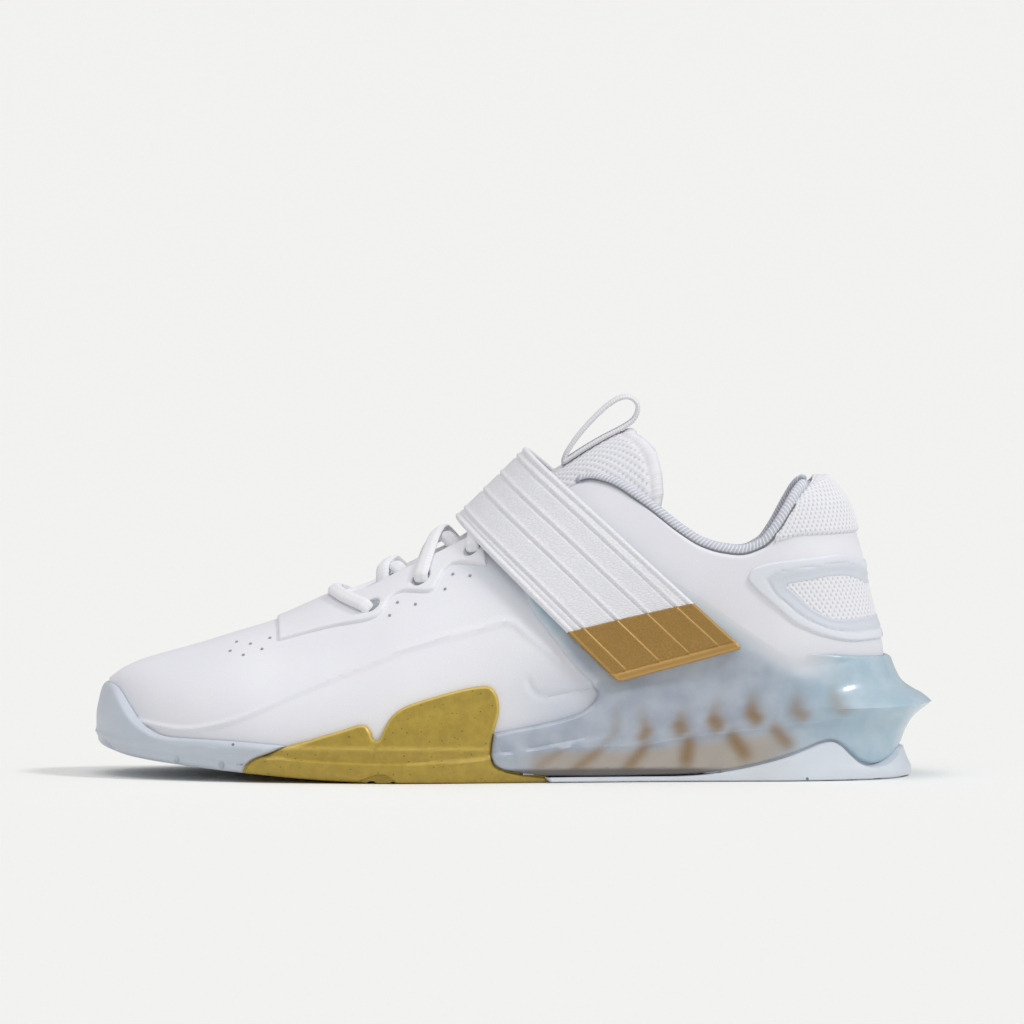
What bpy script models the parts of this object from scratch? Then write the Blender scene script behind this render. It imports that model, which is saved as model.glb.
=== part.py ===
"""Left weightlifting shoe, empty and standing on its sole.

Metres, +Z up. The toe points to -X and the heel to +X. The outer side of the left foot is -Y.
The origin is on the floor, in the middle of the shoe's bounding box.
Every piece is worked out from one form, the last: a row of sections from the toe tip to the heel back.
A place on the form is (along, side, height): along is 0 at the toe tip and 1 at the heel back.
"""

import math

import bpy
import bmesh
from mathutils import Vector

# Driving dimensions of the last and the sole
UPPER_LENGTH = 0.2865
BALL_WIDTH = 0.099
HEEL_WIDTH = 0.070
TOE_SKEW = 0.008
INSTEP_HEIGHT = 0.130
HEEL_TAB_RISE = 0.0284
MEDIAL_COLLAR_DROP = 0.003
FOREFOOT_STACK = 0.008
HEEL_STACK = 0.028
TOE_SPRING = 0.010
BACK_LEAN = 0.022
SIDE_UNIT = 0.025

# Walls, overlays and gaps
GAP = 0.0003
OVERLAY_CLEAR = 0.0006
UPPER_WALL = 0.0020
COLLAR_PAD = 0.0030
TAB_STEP = 0.0012
WING_THICKNESS = 0.0013
EYESTAY_THICKNESS = 0.0009
COUNTER_THICKNESS = 0.0009
INSOLE_THICKNESS = 0.0040
TONGUE_THICKNESS = 0.0045
STRAP_THICKNESS = 0.0026
TIP_EXTRA = 0.0006
BINDING_RADIUS = 0.0017
BINDING_CLEAR = 0.0011
LACE_WIDTH = 0.0055
LACE_THICKNESS = 0.0022
EYELET_RADIUS = 0.0024
LOOP_WIDTH = 0.011
LOOP_THICKNESS = 0.0013

# Forms of the sole's side
TOE_BUMPER = 0.0045
WRAP_SIDE = 0.0028
MIDSOLE_SIDE = 0.0045
HEEL_SPUR = 0.0165
PLATE_SIDE = 0.0048

# Where the strap stands over the form's ridge, and how deep its arch is
STRAP_RISE_FRONT = 0.0046
STRAP_RISE_BACK = 0.0126
STRAP_ARCH = 0.045

STRAIGHT_STATIONS = 20
THROAT_START = 0.287
THROAT_NOSE = 0.030
SPLIT = GAP / 2

# Half widths as shares of the local width, which goes from BALL_WIDTH to HEEL_WIDTH
WIDTHS = (
    # along, lateral, medial
    (0.00, 0.384, 0.424),
    (0.04, 0.394, 0.424),
    (0.10, 0.414, 0.434),
    (0.20, 0.465, 0.449),
    (0.30, 0.505, 0.465),
    (0.38, 0.528, 0.468),
    (0.50, 0.491, 0.405),
    (0.60, 0.473, 0.385),
    (0.68, 0.480, 0.400),
    (0.76, 0.502, 0.448),
    (0.84, 0.514, 0.479),
    (0.92, 0.500, 0.471),
    (1.00, 0.486, 0.457),
)

# Share of the heel's lift, and share of the toe spring
STACK = (
    # along, lift, spring
    (0.00, 0.00, 1.00),
    (0.03, 0.00, 0.80),
    (0.107, 0.00, 0.53),
    (0.175, 0.00, 0.34),
    (0.287, 0.00, 0.09),
    (0.37, 0.02, 0.00),
    (0.50, 0.17, 0.00),
    (0.60, 0.40, 0.00),
    (0.68, 0.62, 0.00),
    (0.76, 0.80, 0.00),
    (0.84, 0.92, 0.00),
    (0.92, 0.98, 0.00),
    (1.00, 1.00, 0.00),
)

# Height of the form's ridge as a share of INSTEP_HEIGHT. Past the tongue it is the closed top of the ankle.
RIDGE = (
    # along, height
    (0.000, 0.272),
    (0.007, 0.284),
    (0.018, 0.301),
    (0.043, 0.326),
    (0.07, 0.344),
    (0.12, 0.375),
    (0.17, 0.409),
    (0.22, 0.443),
    (0.25, 0.471),
    (0.29, 0.512),
    (0.33, 0.556),
    (0.376, 0.612),
    (0.415, 0.656),
    (0.45, 0.700),
    (0.504, 0.780),
    (0.58, 0.896),
    (0.633, 0.968),
    (0.668, 1.005),
    (0.76, 1.090),
    (0.84, 1.154),
    (1.00, 1.154),
)

# Shape of a section: lean of the side in degrees, share of the height that it rises straight,
# share of the half width that the top lies flat, and shift of the ridge to the inner side
SECTION = (
    # along, lean, rise, flat, shift
    (0.00, 4.0, 0.52, 0.62, 0.00),
    (0.10, 6.0, 0.50, 0.60, 0.02),
    (0.30, 7.0, 0.42, 0.55, 0.07),
    (0.45, 5.0, 0.42, 0.52, 0.06),
    (0.60, 4.0, 0.40, 0.62, 0.03),
    (0.76, 3.0, 0.36, 0.82, 0.00),
    (1.00, 2.0, 0.36, 0.82, 0.00),
)

# Height of the upper's top edge as a share of INSTEP_HEIGHT, and share of the heel tab's rise
TOP_EDGE = (
    # along, height, tab
    (0.280, 0.495, 0.00),
    (0.306, 0.514, 0.00),
    (0.333, 0.534, 0.00),
    (0.376, 0.582, 0.00),
    (0.415, 0.624, 0.00),
    (0.461, 0.677, 0.00),
    (0.530, 0.758, 0.00),
    (0.581, 0.812, 0.00),
    (0.620, 0.846, 0.00),
    (0.640, 0.838, 0.00),
    (0.684, 0.784, 0.00),
    (0.735, 0.700, 0.00),
    (0.761, 0.666, 0.00),
    (0.787, 0.648, 0.00),
    (0.812, 0.642, 0.00),
    (0.850, 0.642, 0.10),
    (0.875, 0.642, 0.28),
    (0.890, 0.642, 0.41),
    (0.907, 0.642, 0.555),
    (0.928, 0.642, 0.70),
    (0.952, 0.642, 0.82),
    (0.975, 0.642, 0.91),
    (1.000, 0.642, 1.00),
)

# How far the heel's back leans to the toe, as a share of BACK_LEAN, by height up the back
BACK = (
    # height, lean
    (0.00, 0.00),
    (0.10, 0.03),
    (0.22, 0.05),
    (0.33, 0.14),
    (0.435, 0.24),
    (0.55, 0.345),
    (0.64, 0.40),
    (0.71, 0.475),
    (0.80, 0.58),
    (0.87, 0.68),
    (0.92, 0.81),
    (0.965, 0.95),
    (1.00, 1.17),
)


class Track:
    """A smooth curve through the rows of a table that never overshoots them."""

    def __init__(self, rows, column):
        self.x = [row[0] for row in rows]
        self.y = [row[column] for row in rows]
        steps = [b - a for a, b in zip(self.x, self.x[1:])]
        rises = [(b - a) / h for a, b, h in zip(self.y, self.y[1:], steps)]
        inner = []
        for left, right, h0, h1 in zip(rises, rises[1:], steps, steps[1:]):
            if left * right <= 0:
                inner.append(0.0)
            else:
                inner.append(3 * (h0 + h1) / ((2 * h1 + h0) / left + (h1 + 2 * h0) / right))
        self.slope = [rises[0]] + inner + [rises[-1]]

    def __call__(self, x):
        x = min(max(x, self.x[0]), self.x[-1])
        i = 0
        while i < len(self.x) - 2 and x > self.x[i + 1]:
            i += 1
        h = self.x[i + 1] - self.x[i]
        u = (x - self.x[i]) / h
        a = (1 + 2 * u) * (1 - u) ** 2
        b = u * (1 - u) ** 2
        c = u * u * (3 - 2 * u)
        d = u * u * (u - 1)
        return a * self.y[i] + b * h * self.slope[i] + c * self.y[i + 1] + d * h * self.slope[i + 1]


HALF_LATERAL = Track(WIDTHS, 1)
HALF_MEDIAL = Track(WIDTHS, 2)
LIFT = Track(STACK, 1)
SPRING = Track(STACK, 2)
RIDGE_HEIGHT = Track(RIDGE, 1)
SIDE_LEAN = Track(SECTION, 1)
SIDE_RISE = Track(SECTION, 2)
TOP_FLAT = Track(SECTION, 3)
RIDGE_SHIFT = Track(SECTION, 4)
EDGE_HEIGHT = Track(TOP_EDGE, 1)
TAB_SHARE = Track(TOP_EDGE, 2)
BACK_SHARE = Track(BACK, 1)

LATERAL, MEDIAL = -1, 1
TOE_ROUND = 0.20
TOE_POWER = 2.3
HEEL_ROUND = 0.15
HEEL_POWER = 2.2
LEAN_START = 0.78


def smoothstep(low, high, x):
    u = min(max((x - low) / (high - low), 0.0), 1.0)
    return u * u * (3 - 2 * u)


def mix(a, b, u):
    return a + (b - a) * u


def round_off(u, power):
    """0 at u = 0 with an upright start, and 1 from u = 1 on, as a superellipse."""
    u = min(max(u, 0.0), 1.0)
    return (1 - (1 - u) ** power) ** (1 / power)


def local_width(along):
    return mix(BALL_WIDTH, HEEL_WIDTH, smoothstep(0.45, 0.85, along))


def tip_round(along):
    return round_off(along / TOE_ROUND, TOE_POWER) * round_off((1 - along) / HEEL_ROUND, HEEL_POWER)


def centre_y(along):
    return TOE_SKEW * max(0.0, 1 - along / 0.3) ** 2


def bottom_z(along):
    return TOE_SPRING * SPRING(along)


def feather_z(along):
    """Where the upper meets the sole."""
    return bottom_z(along) + mix(FOREFOOT_STACK, HEEL_STACK, LIFT(along))


def ridge_z(along):
    return INSTEP_HEIGHT * RIDGE_HEIGHT(along)


def edge_z(along, side):
    """The upper's top edge: on the vamp it is the ridge itself."""
    if along <= THROAT_START:
        return ridge_z(along)
    plain = INSTEP_HEIGHT * EDGE_HEIGHT(along) + HEEL_TAB_RISE * TAB_SHARE(along)
    if side == MEDIAL:
        plain -= MEDIAL_COLLAR_DROP * smoothstep(0.60, 0.70, along) * (1 - smoothstep(0.82, 0.92, along))
    nose = round_off((along - THROAT_START) / THROAT_NOSE, 2)
    return mix(ridge_z(along), min(plain, ridge_z(along)), nose)


def level_z(along, up):
    """A height by the sole: 0 is its bottom, 1 the feather line, and each 1 above that is SIDE_UNIT."""
    along = min(max(along, 0.0), 1.0)
    if up <= 1:
        return mix(bottom_z(along), feather_z(along), up)
    return feather_z(along) + (up - 1) * SIDE_UNIT


def form_handles(along, side):
    """The four points (y, z) of a section's curve from the feather line to the ridge."""
    width = local_width(along)
    half = width * (HALF_LATERAL if side == LATERAL else HALF_MEDIAL)(along)
    low = feather_z(along)
    high = ridge_z(along)
    rise = SIDE_RISE(along) * (high - low)
    lean = math.radians(SIDE_LEAN(along))
    shift = RIDGE_SHIFT(along) * width
    start = (side * half, low)
    bulge = (side * (half + rise * math.tan(lean)), low + rise)
    shoulder = (shift + side * TOP_FLAT(along) * half, high)
    return start, bulge, shoulder, (shift, high)


def bezier(points, t):
    u = 1 - t
    weights = (u * u * u, 3 * u * u * t, 3 * u * t * t, t * t * t)
    return tuple(sum(w * p[i] for w, p in zip(weights, points)) for i in (0, 1))


def along_to_x(along):
    return (along - 0.52) * UPPER_LENGTH


def back_lean(along, z):
    low = feather_z(1.0)
    high = edge_z(1.0, LATERAL)
    share = BACK_SHARE((z - low) / (high - low))
    return BACK_LEAN * share * smoothstep(LEAN_START, 1.0, along)


def form_point(along, t, side):
    y, z = bezier(form_handles(along, side), t)
    x = along_to_x(along) - back_lean(along, z)
    return Vector((x, centre_y(along) + y * tip_round(along), z))


def t_at_height(along, z, side):
    handles = form_handles(along, side)
    low, high = 0.0, 1.0
    for _ in range(26):
        middle = (low + high) / 2
        if bezier(handles, middle)[1] < z:
            low = middle
        else:
            high = middle
    return (low + high) / 2


# How far across the toe or the heel each station at a rounded end lies
ROUND_STEPS = (0.0, 0.15, 0.30, 0.45, 0.60, 0.74, 0.86, 0.95)


def station_list():
    """Shares along the form, close together where the toe and the heel are round."""

    def end(length, power):
        return [length * (1 - (1 - step**power) ** (1 / power)) for step in ROUND_STEPS]

    toe = end(TOE_ROUND, TOE_POWER)
    heel = [1 - share for share in end(HEEL_ROUND, HEEL_POWER)][::-1]
    first, last = TOE_ROUND * 0.75, 1 - HEEL_ROUND * 0.75
    straight = [mix(first, last, i / (STRAIGHT_STATIONS - 1)) for i in range(STRAIGHT_STATIONS)]
    return toe + straight + heel


ALONG = station_list()


def loop_places():
    """The stations as a loop: heel back, lateral side, toe tip, medial side."""
    lateral = [(a, LATERAL) for a in reversed(ALONG)]
    medial = [(a, MEDIAL) for a in ALONG[1:-1]]
    return lateral + medial


PLACES = loop_places()
LOOP = len(PLACES)


def mirror_index(k):
    return (LOOP - k) % LOOP


def on_ridge(k, point):
    along = PLACES[k][0]
    return 0 < along <= THROAT_START and point.z >= ridge_z(along) - 1e-7


def offset_rings(rings, amount):
    """Moves each ring's points out along the surface's own direction by amount(row, along, side)."""
    rows = len(rings)
    moved = []
    for j, ring in enumerate(rings):
        new_ring = []
        for k, point in enumerate(ring):
            around = ring[(k + 1) % LOOP] - ring[k - 1]
            up = rings[min(j + 1, rows - 1)][k] - rings[max(j - 1, 0)][k]
            if around.length < 1e-6:
                around = Vector((0, 1, 0))
                up = up.normalized() + (ring[k + 1] - point).normalized()
            normal = up.cross(around)
            if on_ridge(k, point):
                normal.y = 0
            normal.normalize()
            new_ring.append(point + normal * amount(j, *PLACES[k]))
        moved.append(new_ring)
    for ring in moved:
        for k, point in enumerate(ring):
            twin = mirror_index(k)
            if k < twin and on_ridge(k, rings[-1][k]) and ring is moved[-1]:
                middle = (point + ring[twin]) / 2
                ring[k] = middle.copy()
                ring[twin] = middle.copy()
    return moved


def form_ring(share):
    """A ring on the form at a share of the way from the feather line to the top edge."""
    ring = []
    for along, side in PLACES:
        z = mix(feather_z(along), edge_z(along, side), share)
        t = 1.0 if share == 1 and along <= THROAT_START else t_at_height(along, z, side)
        ring.append(form_point(along, 0.0 if share == 0 else t, side))
    return ring


def sole_ring(up):
    """A ring under the feather line, straight below it."""
    ring = []
    for along, side in PLACES:
        foot = form_point(along, 0.0, side)
        ring.append(Vector((foot.x, foot.y, level_z(along, up))))
    return ring


# Objects and materials

PARTS = bpy.data.collections.new("weightlifting_shoe")
CUTTERS = bpy.data.collections.new("cutters")


def material(name, colour, roughness, alpha=1.0):
    made = bpy.data.materials.new(name)
    made.use_nodes = True
    shader = made.node_tree.nodes["Principled BSDF"]
    shader.inputs["Base Color"].default_value = (*colour, 1.0)
    shader.inputs["Roughness"].default_value = roughness
    shader.inputs["Metallic"].default_value = 0.0
    shader.inputs["Alpha"].default_value = alpha
    return made


def add_mesh(name, bm, collection, finish=None):
    bmesh.ops.remove_doubles(bm, verts=bm.verts, dist=1e-6)
    bmesh.ops.dissolve_degenerate(bm, dist=1e-6, edges=bm.edges)
    bmesh.ops.recalc_face_normals(bm, faces=bm.faces)
    mesh = bpy.data.meshes.new(name)
    bm.to_mesh(mesh)
    bm.free()
    obj = bpy.data.objects.new(name, mesh)
    collection.objects.link(obj)
    if finish:
        mesh.materials.append(finish)
        mesh.shade_smooth()
        mesh.set_sharp_from_angle(angle=math.radians(40))
    return obj


def band_step(bm, lower, upper, k):
    """Two triangles between two rings. Every skin splits the same way, so that nested skins stay parallel."""
    n = (k + 1) % LOOP
    a, b, c, d = lower[k], lower[n], upper[n], upper[k]
    halves = ((a, b, c), (a, c, d)) if k < LOOP // 2 else ((a, b, d), (b, c, d))
    for corners in halves:
        bm.faces.new(corners)


def skin(bm, rings):
    """Skins a stack of rings and returns its vertices, ring by ring."""
    verts = [[bm.verts.new(p) for p in ring] for ring in rings]
    for lower, upper in zip(verts, verts[1:]):
        for k in range(LOOP):
            band_step(bm, lower, upper, k)
    return verts


def ring_mesh(rings):
    """A closed stack of rings. A cap is a ladder of faces between the lateral and the medial side."""
    bm = bmesh.new()
    verts = skin(bm, rings)
    for ring in (verts[0], verts[-1]):
        for k in range(LOOP // 2):
            corners = [ring[k], ring[k + 1], ring[mirror_index(k + 1)], ring[mirror_index(k)]]
            distinct = [v for i, v in enumerate(corners) if v not in corners[:i]]
            bm.faces.new(distinct)
    return bm


def shell_mesh(outer, inner):
    """A wall between two skins, open at the throat and the collar and underneath."""
    bm = bmesh.new()
    outside, inside = skin(bm, outer), skin(bm, inner)
    for k in range(LOOP):
        n = (k + 1) % LOOP
        bm.faces.new((outside[0][k], outside[0][n], inside[0][n], inside[0][k]))
        if PLACES[k][0] > THROAT_START or PLACES[n][0] > THROAT_START:
            bm.faces.new((outside[-1][k], outside[-1][n], inside[-1][n], inside[-1][k]))
    return bm


def hide_cutter(obj):
    obj.hide_render = True
    obj.display_type = "WIRE"


def smooth_run(points, per=3):
    """A smooth curve through hand-placed points, as a list of points."""
    made = []
    for i in range(len(points) - 1):
        p0 = Vector(points[max(i - 1, 0)])
        p1 = Vector(points[i])
        p2 = Vector(points[i + 1])
        p3 = Vector(points[min(i + 2, len(points) - 1)])
        for step in range(per):
            u = step / per
            pull = (p2 - p0) * u + (2 * p0 - 5 * p1 + 4 * p2 - p3) * u**2 + (3 * p1 - p0 - 3 * p2 + p3) * u**3
            made.append(p1 + pull / 2)
    made.append(Vector(points[-1]))
    return made


def shift_run(points, distance):
    """Moves a run sideways, to its left when distance is above 0."""
    moved = []
    for i, point in enumerate(points):
        heading = points[min(i + 1, len(points) - 1)] - points[max(i - 1, 0)]
        moved.append(point + Vector((-heading.y, heading.x)).normalized() * distance)
    return moved


def side_view(rows):
    """Rows of (along, up) as points (x, z) of the side view."""
    return [(along_to_x(along), level_z(along, up)) for along, up in rows]


def prism(name, outline, low_y=-0.2, high_y=0.2):
    """A closed side-view outline made into a block from low_y to high_y, to cut with."""
    curve = bpy.data.curves.new(name, "CURVE")
    curve.dimensions = "2D"
    curve.fill_mode = "BOTH"
    curve.extrude = (high_y - low_y) / 2
    spline = curve.splines.new("POLY")
    spline.points.add(len(outline) - 1)
    for place, point in zip(spline.points, outline):
        place.co = (point[0], point[1], 0, 1)
    spline.use_cyclic_u = True
    flat = bpy.data.objects.new(name + "_outline", curve)
    CUTTERS.objects.link(flat)
    flat.rotation_euler = (math.pi / 2, 0, 0)
    flat.location = (0, (low_y + high_y) / 2, 0)
    bpy.context.view_layer.update()
    graph = bpy.context.evaluated_depsgraph_get()
    mesh = bpy.data.meshes.new_from_object(flat.evaluated_get(graph))
    mesh.transform(flat.matrix_world)
    bpy.data.objects.remove(flat)
    bm = bmesh.new()
    bm.from_mesh(mesh)
    bpy.data.meshes.remove(mesh)
    block = add_mesh(name, bm, CUTTERS)
    hide_cutter(block)
    return block


def cut(obj, cutter, operation):
    boolean = obj.modifiers.new(cutter.name, "BOOLEAN")
    boolean.operation = operation
    boolean.solver = "EXACT"
    boolean.object = cutter


# The upper


UPPER_ROWS = (0.0, 0.12, 0.26, 0.42, 0.57, 0.69, 0.80, 0.90, 1.0)
TAB_LINE = 0.74


def tab_step(share, along):
    """The heel tab stands proud of the quarter above its lower line."""
    return TAB_STEP * smoothstep(0.83, 0.89, along) * smoothstep(TAB_LINE - 0.03, TAB_LINE + 0.03, share)


def upper_rings():
    rings = [form_ring(share) for share in UPPER_ROWS]
    return offset_rings(rings, lambda j, along, side: tab_step(UPPER_ROWS[j], along))


def wall_thickness(share, along):
    pad = smoothstep(0.62, 0.86, share) * smoothstep(0.64, 0.76, along)
    return UPPER_WALL + COLLAR_PAD * pad


def build_upper(finish):
    outer = upper_rings()
    inner = offset_rings(outer, lambda j, along, side: -wall_thickness(UPPER_ROWS[j], along))
    upper = add_mesh("upper", shell_mesh(outer, inner), PARTS, finish)
    for i, (along, height) in enumerate(EYELETS):
        for side, word in ((LATERAL, "lateral"), (MEDIAL, "medial")):
            hole = punch(f"eyelet_{word}_{i + 1}", along, height, side, EYELET_RADIUS)
            cut(upper, hole, "DIFFERENCE")
    return upper


# Lace holes: share along, and share of the section's curve from the feather line to the ridge
EYELETS = (
    (0.338, 0.665),
    (0.402, 0.690),
    (0.458, 0.725),
)


def surface_frame(along, t, side):
    """A place on the form with its outward direction and its direction up the section."""
    step = 1e-3
    here = form_point(along, t, side)
    ahead = form_point(along + step, t, side) - form_point(along - step, t, side)
    up = form_point(along, t + step, side) - form_point(along, t - step, side)
    outward = ahead.cross(up) * (-side)
    return here, outward.normalized(), up.normalized()


def punch(name, along, t, side, radius):
    """A round cutter through the upper's wall."""
    here, outward, _ = surface_frame(along, t, side)
    bm = bmesh.new()
    bmesh.ops.create_cone(
        bm, cap_ends=True, segments=10, radius1=radius, radius2=radius, depth=4 * UPPER_WALL
    )
    tool = add_mesh(name, bm, CUTTERS)
    tool.rotation_mode = "QUATERNION"
    tool.rotation_quaternion = outward.to_track_quat("Z", "Y")
    tool.location = here
    hide_cutter(tool)
    return tool


# The sole's pieces, each cut from a full cup that follows the upper

# Rows that a cup has above the feather line. The upper's own rows keep the facets of both parallel
WING_ROWS = (*UPPER_ROWS[1:-1], 0.97)
BUMPER_ROWS = (*UPPER_ROWS[1:-1], 0.96)
LOBE_ROWS = UPPER_ROWS[1:5]
RIM_ROWS = (0.04, 0.08, 0.19)


def ring_between(rings, share):
    """The ring at a share up the upper's rows, on the facets between two of them where it isn't one."""
    i = 0
    while i < len(UPPER_ROWS) - 2 and share > UPPER_ROWS[i + 1]:
        i += 1
    part = (share - UPPER_ROWS[i]) / (UPPER_ROWS[i + 1] - UPPER_ROWS[i])
    return [a.lerp(b, part) for a, b in zip(rings[i], rings[i + 1])]


def cup(below, above, amount, extra=()):
    """A closed cup around the upper: outer side by amount(height, along, side), inner side GAP off the upper.

    height is 0 to 1 under the feather line, and 1 + share of the way to the top edge above it.
    """
    heights = [*below, 1.0] + [1 + share for share in sorted((*above, *extra))]
    rings = [sole_ring(up) if up < 1 else form_ring(up - 1) for up in heights]
    outer = offset_rings(rings, lambda j, along, side: amount(heights[j], along, side))
    around = offset_rings([form_ring(share) for share in UPPER_ROWS], lambda j, along, side: GAP)
    inner = [ring_between(around, share) for share in (0.0, *above)]
    inner[0] = [p - Vector((0, 0, GAP)) for p in inner[0]]
    return ring_mesh(outer + inner[::-1])


# Outer side of each sole piece: height as in cup, and shares of the piece's named side size
TOE_PROFILE = (
    # height, side
    (0.00, 0.10),
    (0.15, 0.45),
    (0.40, 0.80),
    (0.80, 1.00),
    (1.20, 1.00),
    (1.60, 0.75),
    (1.95, 0.35),
)
WRAP_PROFILE = (
    # height, side
    (0.00, 0.75),
    (0.30, 1.15),
    (0.60, 1.35),
    (0.80, 1.45),
    (0.92, 1.00),
    (1.10, 0.80),
    (1.50, 0.62),
)
MIDSOLE_PROFILE = (
    # height, side, spur
    (0.00, 0.95, 0.26),
    (0.25, 0.90, 0.28),
    (0.40, 0.88, 0.30),
    (0.56, 0.92, 0.38),
    (0.76, 1.08, 0.56),
    (0.88, 1.18, 0.78),
    (0.98, 1.10, 1.00),
    (1.04, 0.96, 0.58),
    (1.08, 0.84, 0.36),
    (1.125, 0.74, 0.25),
    (1.18, 0.62, 0.15),
    (1.21, 0.42, 0.09),
    (1.30, 0.36, 0.09),
)
PLATE_PROFILE = (
    # height, side, back
    (0.00, 1.06, 1.78),
    (0.10, 1.08, 1.88),
    (0.25, 1.02, 1.52),
    (0.40, 0.98, 1.25),
    (0.60, 0.96, 1.18),
    (1.00, 0.96, 1.18),
)
TOE_SIDE = Track(TOE_PROFILE, 1)
WRAP_SIDE_SHARE = Track(WRAP_PROFILE, 1)
MIDSOLE_SIDE_SHARE = Track(MIDSOLE_PROFILE, 1)
MIDSOLE_SPUR_SHARE = Track(MIDSOLE_PROFILE, 2)
PLATE_SIDE_SHARE = Track(PLATE_PROFILE, 1)
PLATE_BACK_SHARE = Track(PLATE_PROFILE, 2)


def toe_amount(height, along, side):
    fade = mix(1.0, 0.72, smoothstep(0.02, 0.12, along))
    return GAP + TOE_BUMPER * TOE_SIDE(height) * fade


def wrap_amount(height, along, side):
    return GAP + WRAP_SIDE * WRAP_SIDE_SHARE(height)


def midsole_amount(height, along, side):
    wing = GAP + WING_THICKNESS
    wall = GAP + MIDSOLE_SIDE * MIDSOLE_SIDE_SHARE(height)
    spur = GAP + HEEL_SPUR * MIDSOLE_SPUR_SHARE(height)
    flank = mix(wall, wing, smoothstep(1.18, 1.35, height))
    flank = mix(mix(wing, wall, 0.75) if height > 1 else wall, flank, smoothstep(0.5, 0.8, along))
    flank = mix(flank, wing, smoothstep(1.05, 1.30, height))
    return mix(flank, max(spur, wing), smoothstep(0.86, 1.0, along) ** 1.5)


def plate_amount(height, along, side):
    flank = PLATE_SIDE * PLATE_SIDE_SHARE(height)
    back = PLATE_SIDE * PLATE_BACK_SHARE(height)
    return GAP + mix(flank, back, smoothstep(0.88, 1.0, along))


# Lines of the side view, as rows of (along, up) with up as in level_z
TOE_WRAP_LINE = (
    (0.176, -0.60),
    (0.176, 0.10),
    (0.179, 0.42),
    (0.190, 0.74),
    (0.204, 0.98),
    (0.229, 1.14),
    (0.262, 1.27),
)
TOE_RIM_LINE = (
    (0.229, 1.14),
    (0.171, 1.13),
    (0.120, 1.10),
    (0.069, 1.06),
    (0.046, 1.12),
    (0.030, 1.22),
    (0.018, 1.38),
    (0.009, 1.53),
    (0.003, 1.60),
    (-0.006, 1.625),
    (-0.040, 1.625),
)
LOBE_LINE = (
    (0.262, 1.27),
    (0.300, 1.42),
    (0.322, 1.51),
    (0.332, 1.50),
    (0.338, 1.41),
    (0.341, 1.31),
    (0.348, 1.31),
    (0.356, 1.50),
    (0.366, 1.66),
    (0.383, 1.78),
    (0.415, 1.88),
    (0.453, 1.96),
    (0.479, 1.98),
    (0.492, 1.95),
    (0.500, 1.82),
    (0.503, 1.62),
    (0.500, 1.44),
    (0.4955, 1.28),
)
WRAP_MIDSOLE_LINE = (
    (0.4955, 1.28),
    (0.493, 1.02),
    (0.4955, 0.65),
    (0.5045, 0.46),
    (0.524, 0.30),
    (0.5625, 0.16),
)
PLATE_LINE = (
    (0.5625, 0.16),
    (0.630, 0.11),
    (0.697, 0.10),
    (0.761, 0.115),
    (0.812, 0.19),
    (0.863, 0.315),
    (0.893, 0.42),
    (0.915, 0.51),
    (0.930, 0.53),
    (0.942, 0.47),
    (0.955, 0.34),
    (0.968, 0.23),
    (0.985, 0.185),
    (1.002, 0.23),
    (1.014, 0.33),
    (1.020, 0.41),
    (1.060, 0.41),
)
WINDOW_LINE = (
    (0.4955, 1.28),
    (0.556, 1.30),
    (0.600, 1.34),
    (0.621, 1.44),
    (0.629, 1.58),
    (0.622, 1.75),
    (0.600, 2.04),
    (0.567, 2.58),
    (0.545, 2.95),
    (0.535, 3.20),
    (0.528, 3.55),
    (0.518, 4.02),
)
WING_TOP_LINE = (
    (0.640, 4.20),
    (0.684, 3.70),
    (0.710, 3.35),
    (0.761, 2.92),
    (0.812, 2.45),
    (0.863, 2.03),
    (0.8955, 1.82),
    (0.930, 1.74),
    (1.000, 1.66),
    (1.060, 1.66),
)

BITE = ((0.322, 0.00), (0.340, 0.30), (0.354, 0.38), (0.366, 0.14), (0.371, -0.02))
TOE_NOTCHES = (0.012, 0.093, 0.150)
NOTCH_WIDTH = 0.0022
NOTCH_DEPTH = 0.0028
UNDER = 0.02


def notched_floor(low_x, high_x, notches):
    """A line under the sole from high_x to low_x with a notch up into it at each share along."""
    points = [Vector((high_x, -UNDER))]
    for along in sorted(notches, reverse=True):
        x = along_to_x(along)
        top = bottom_z(along) + NOTCH_DEPTH
        for corner in ((0.5, -UNDER), (0.5, top), (-0.5, top), (-0.5, -UNDER)):
            points.append(Vector((x + corner[0] * NOTCH_WIDTH, corner[1])))
    points.append(Vector((low_x, -UNDER)))
    return points


def run(rows, distance=0.0):
    return shift_run(smooth_run(side_view(rows)), distance)


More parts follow.
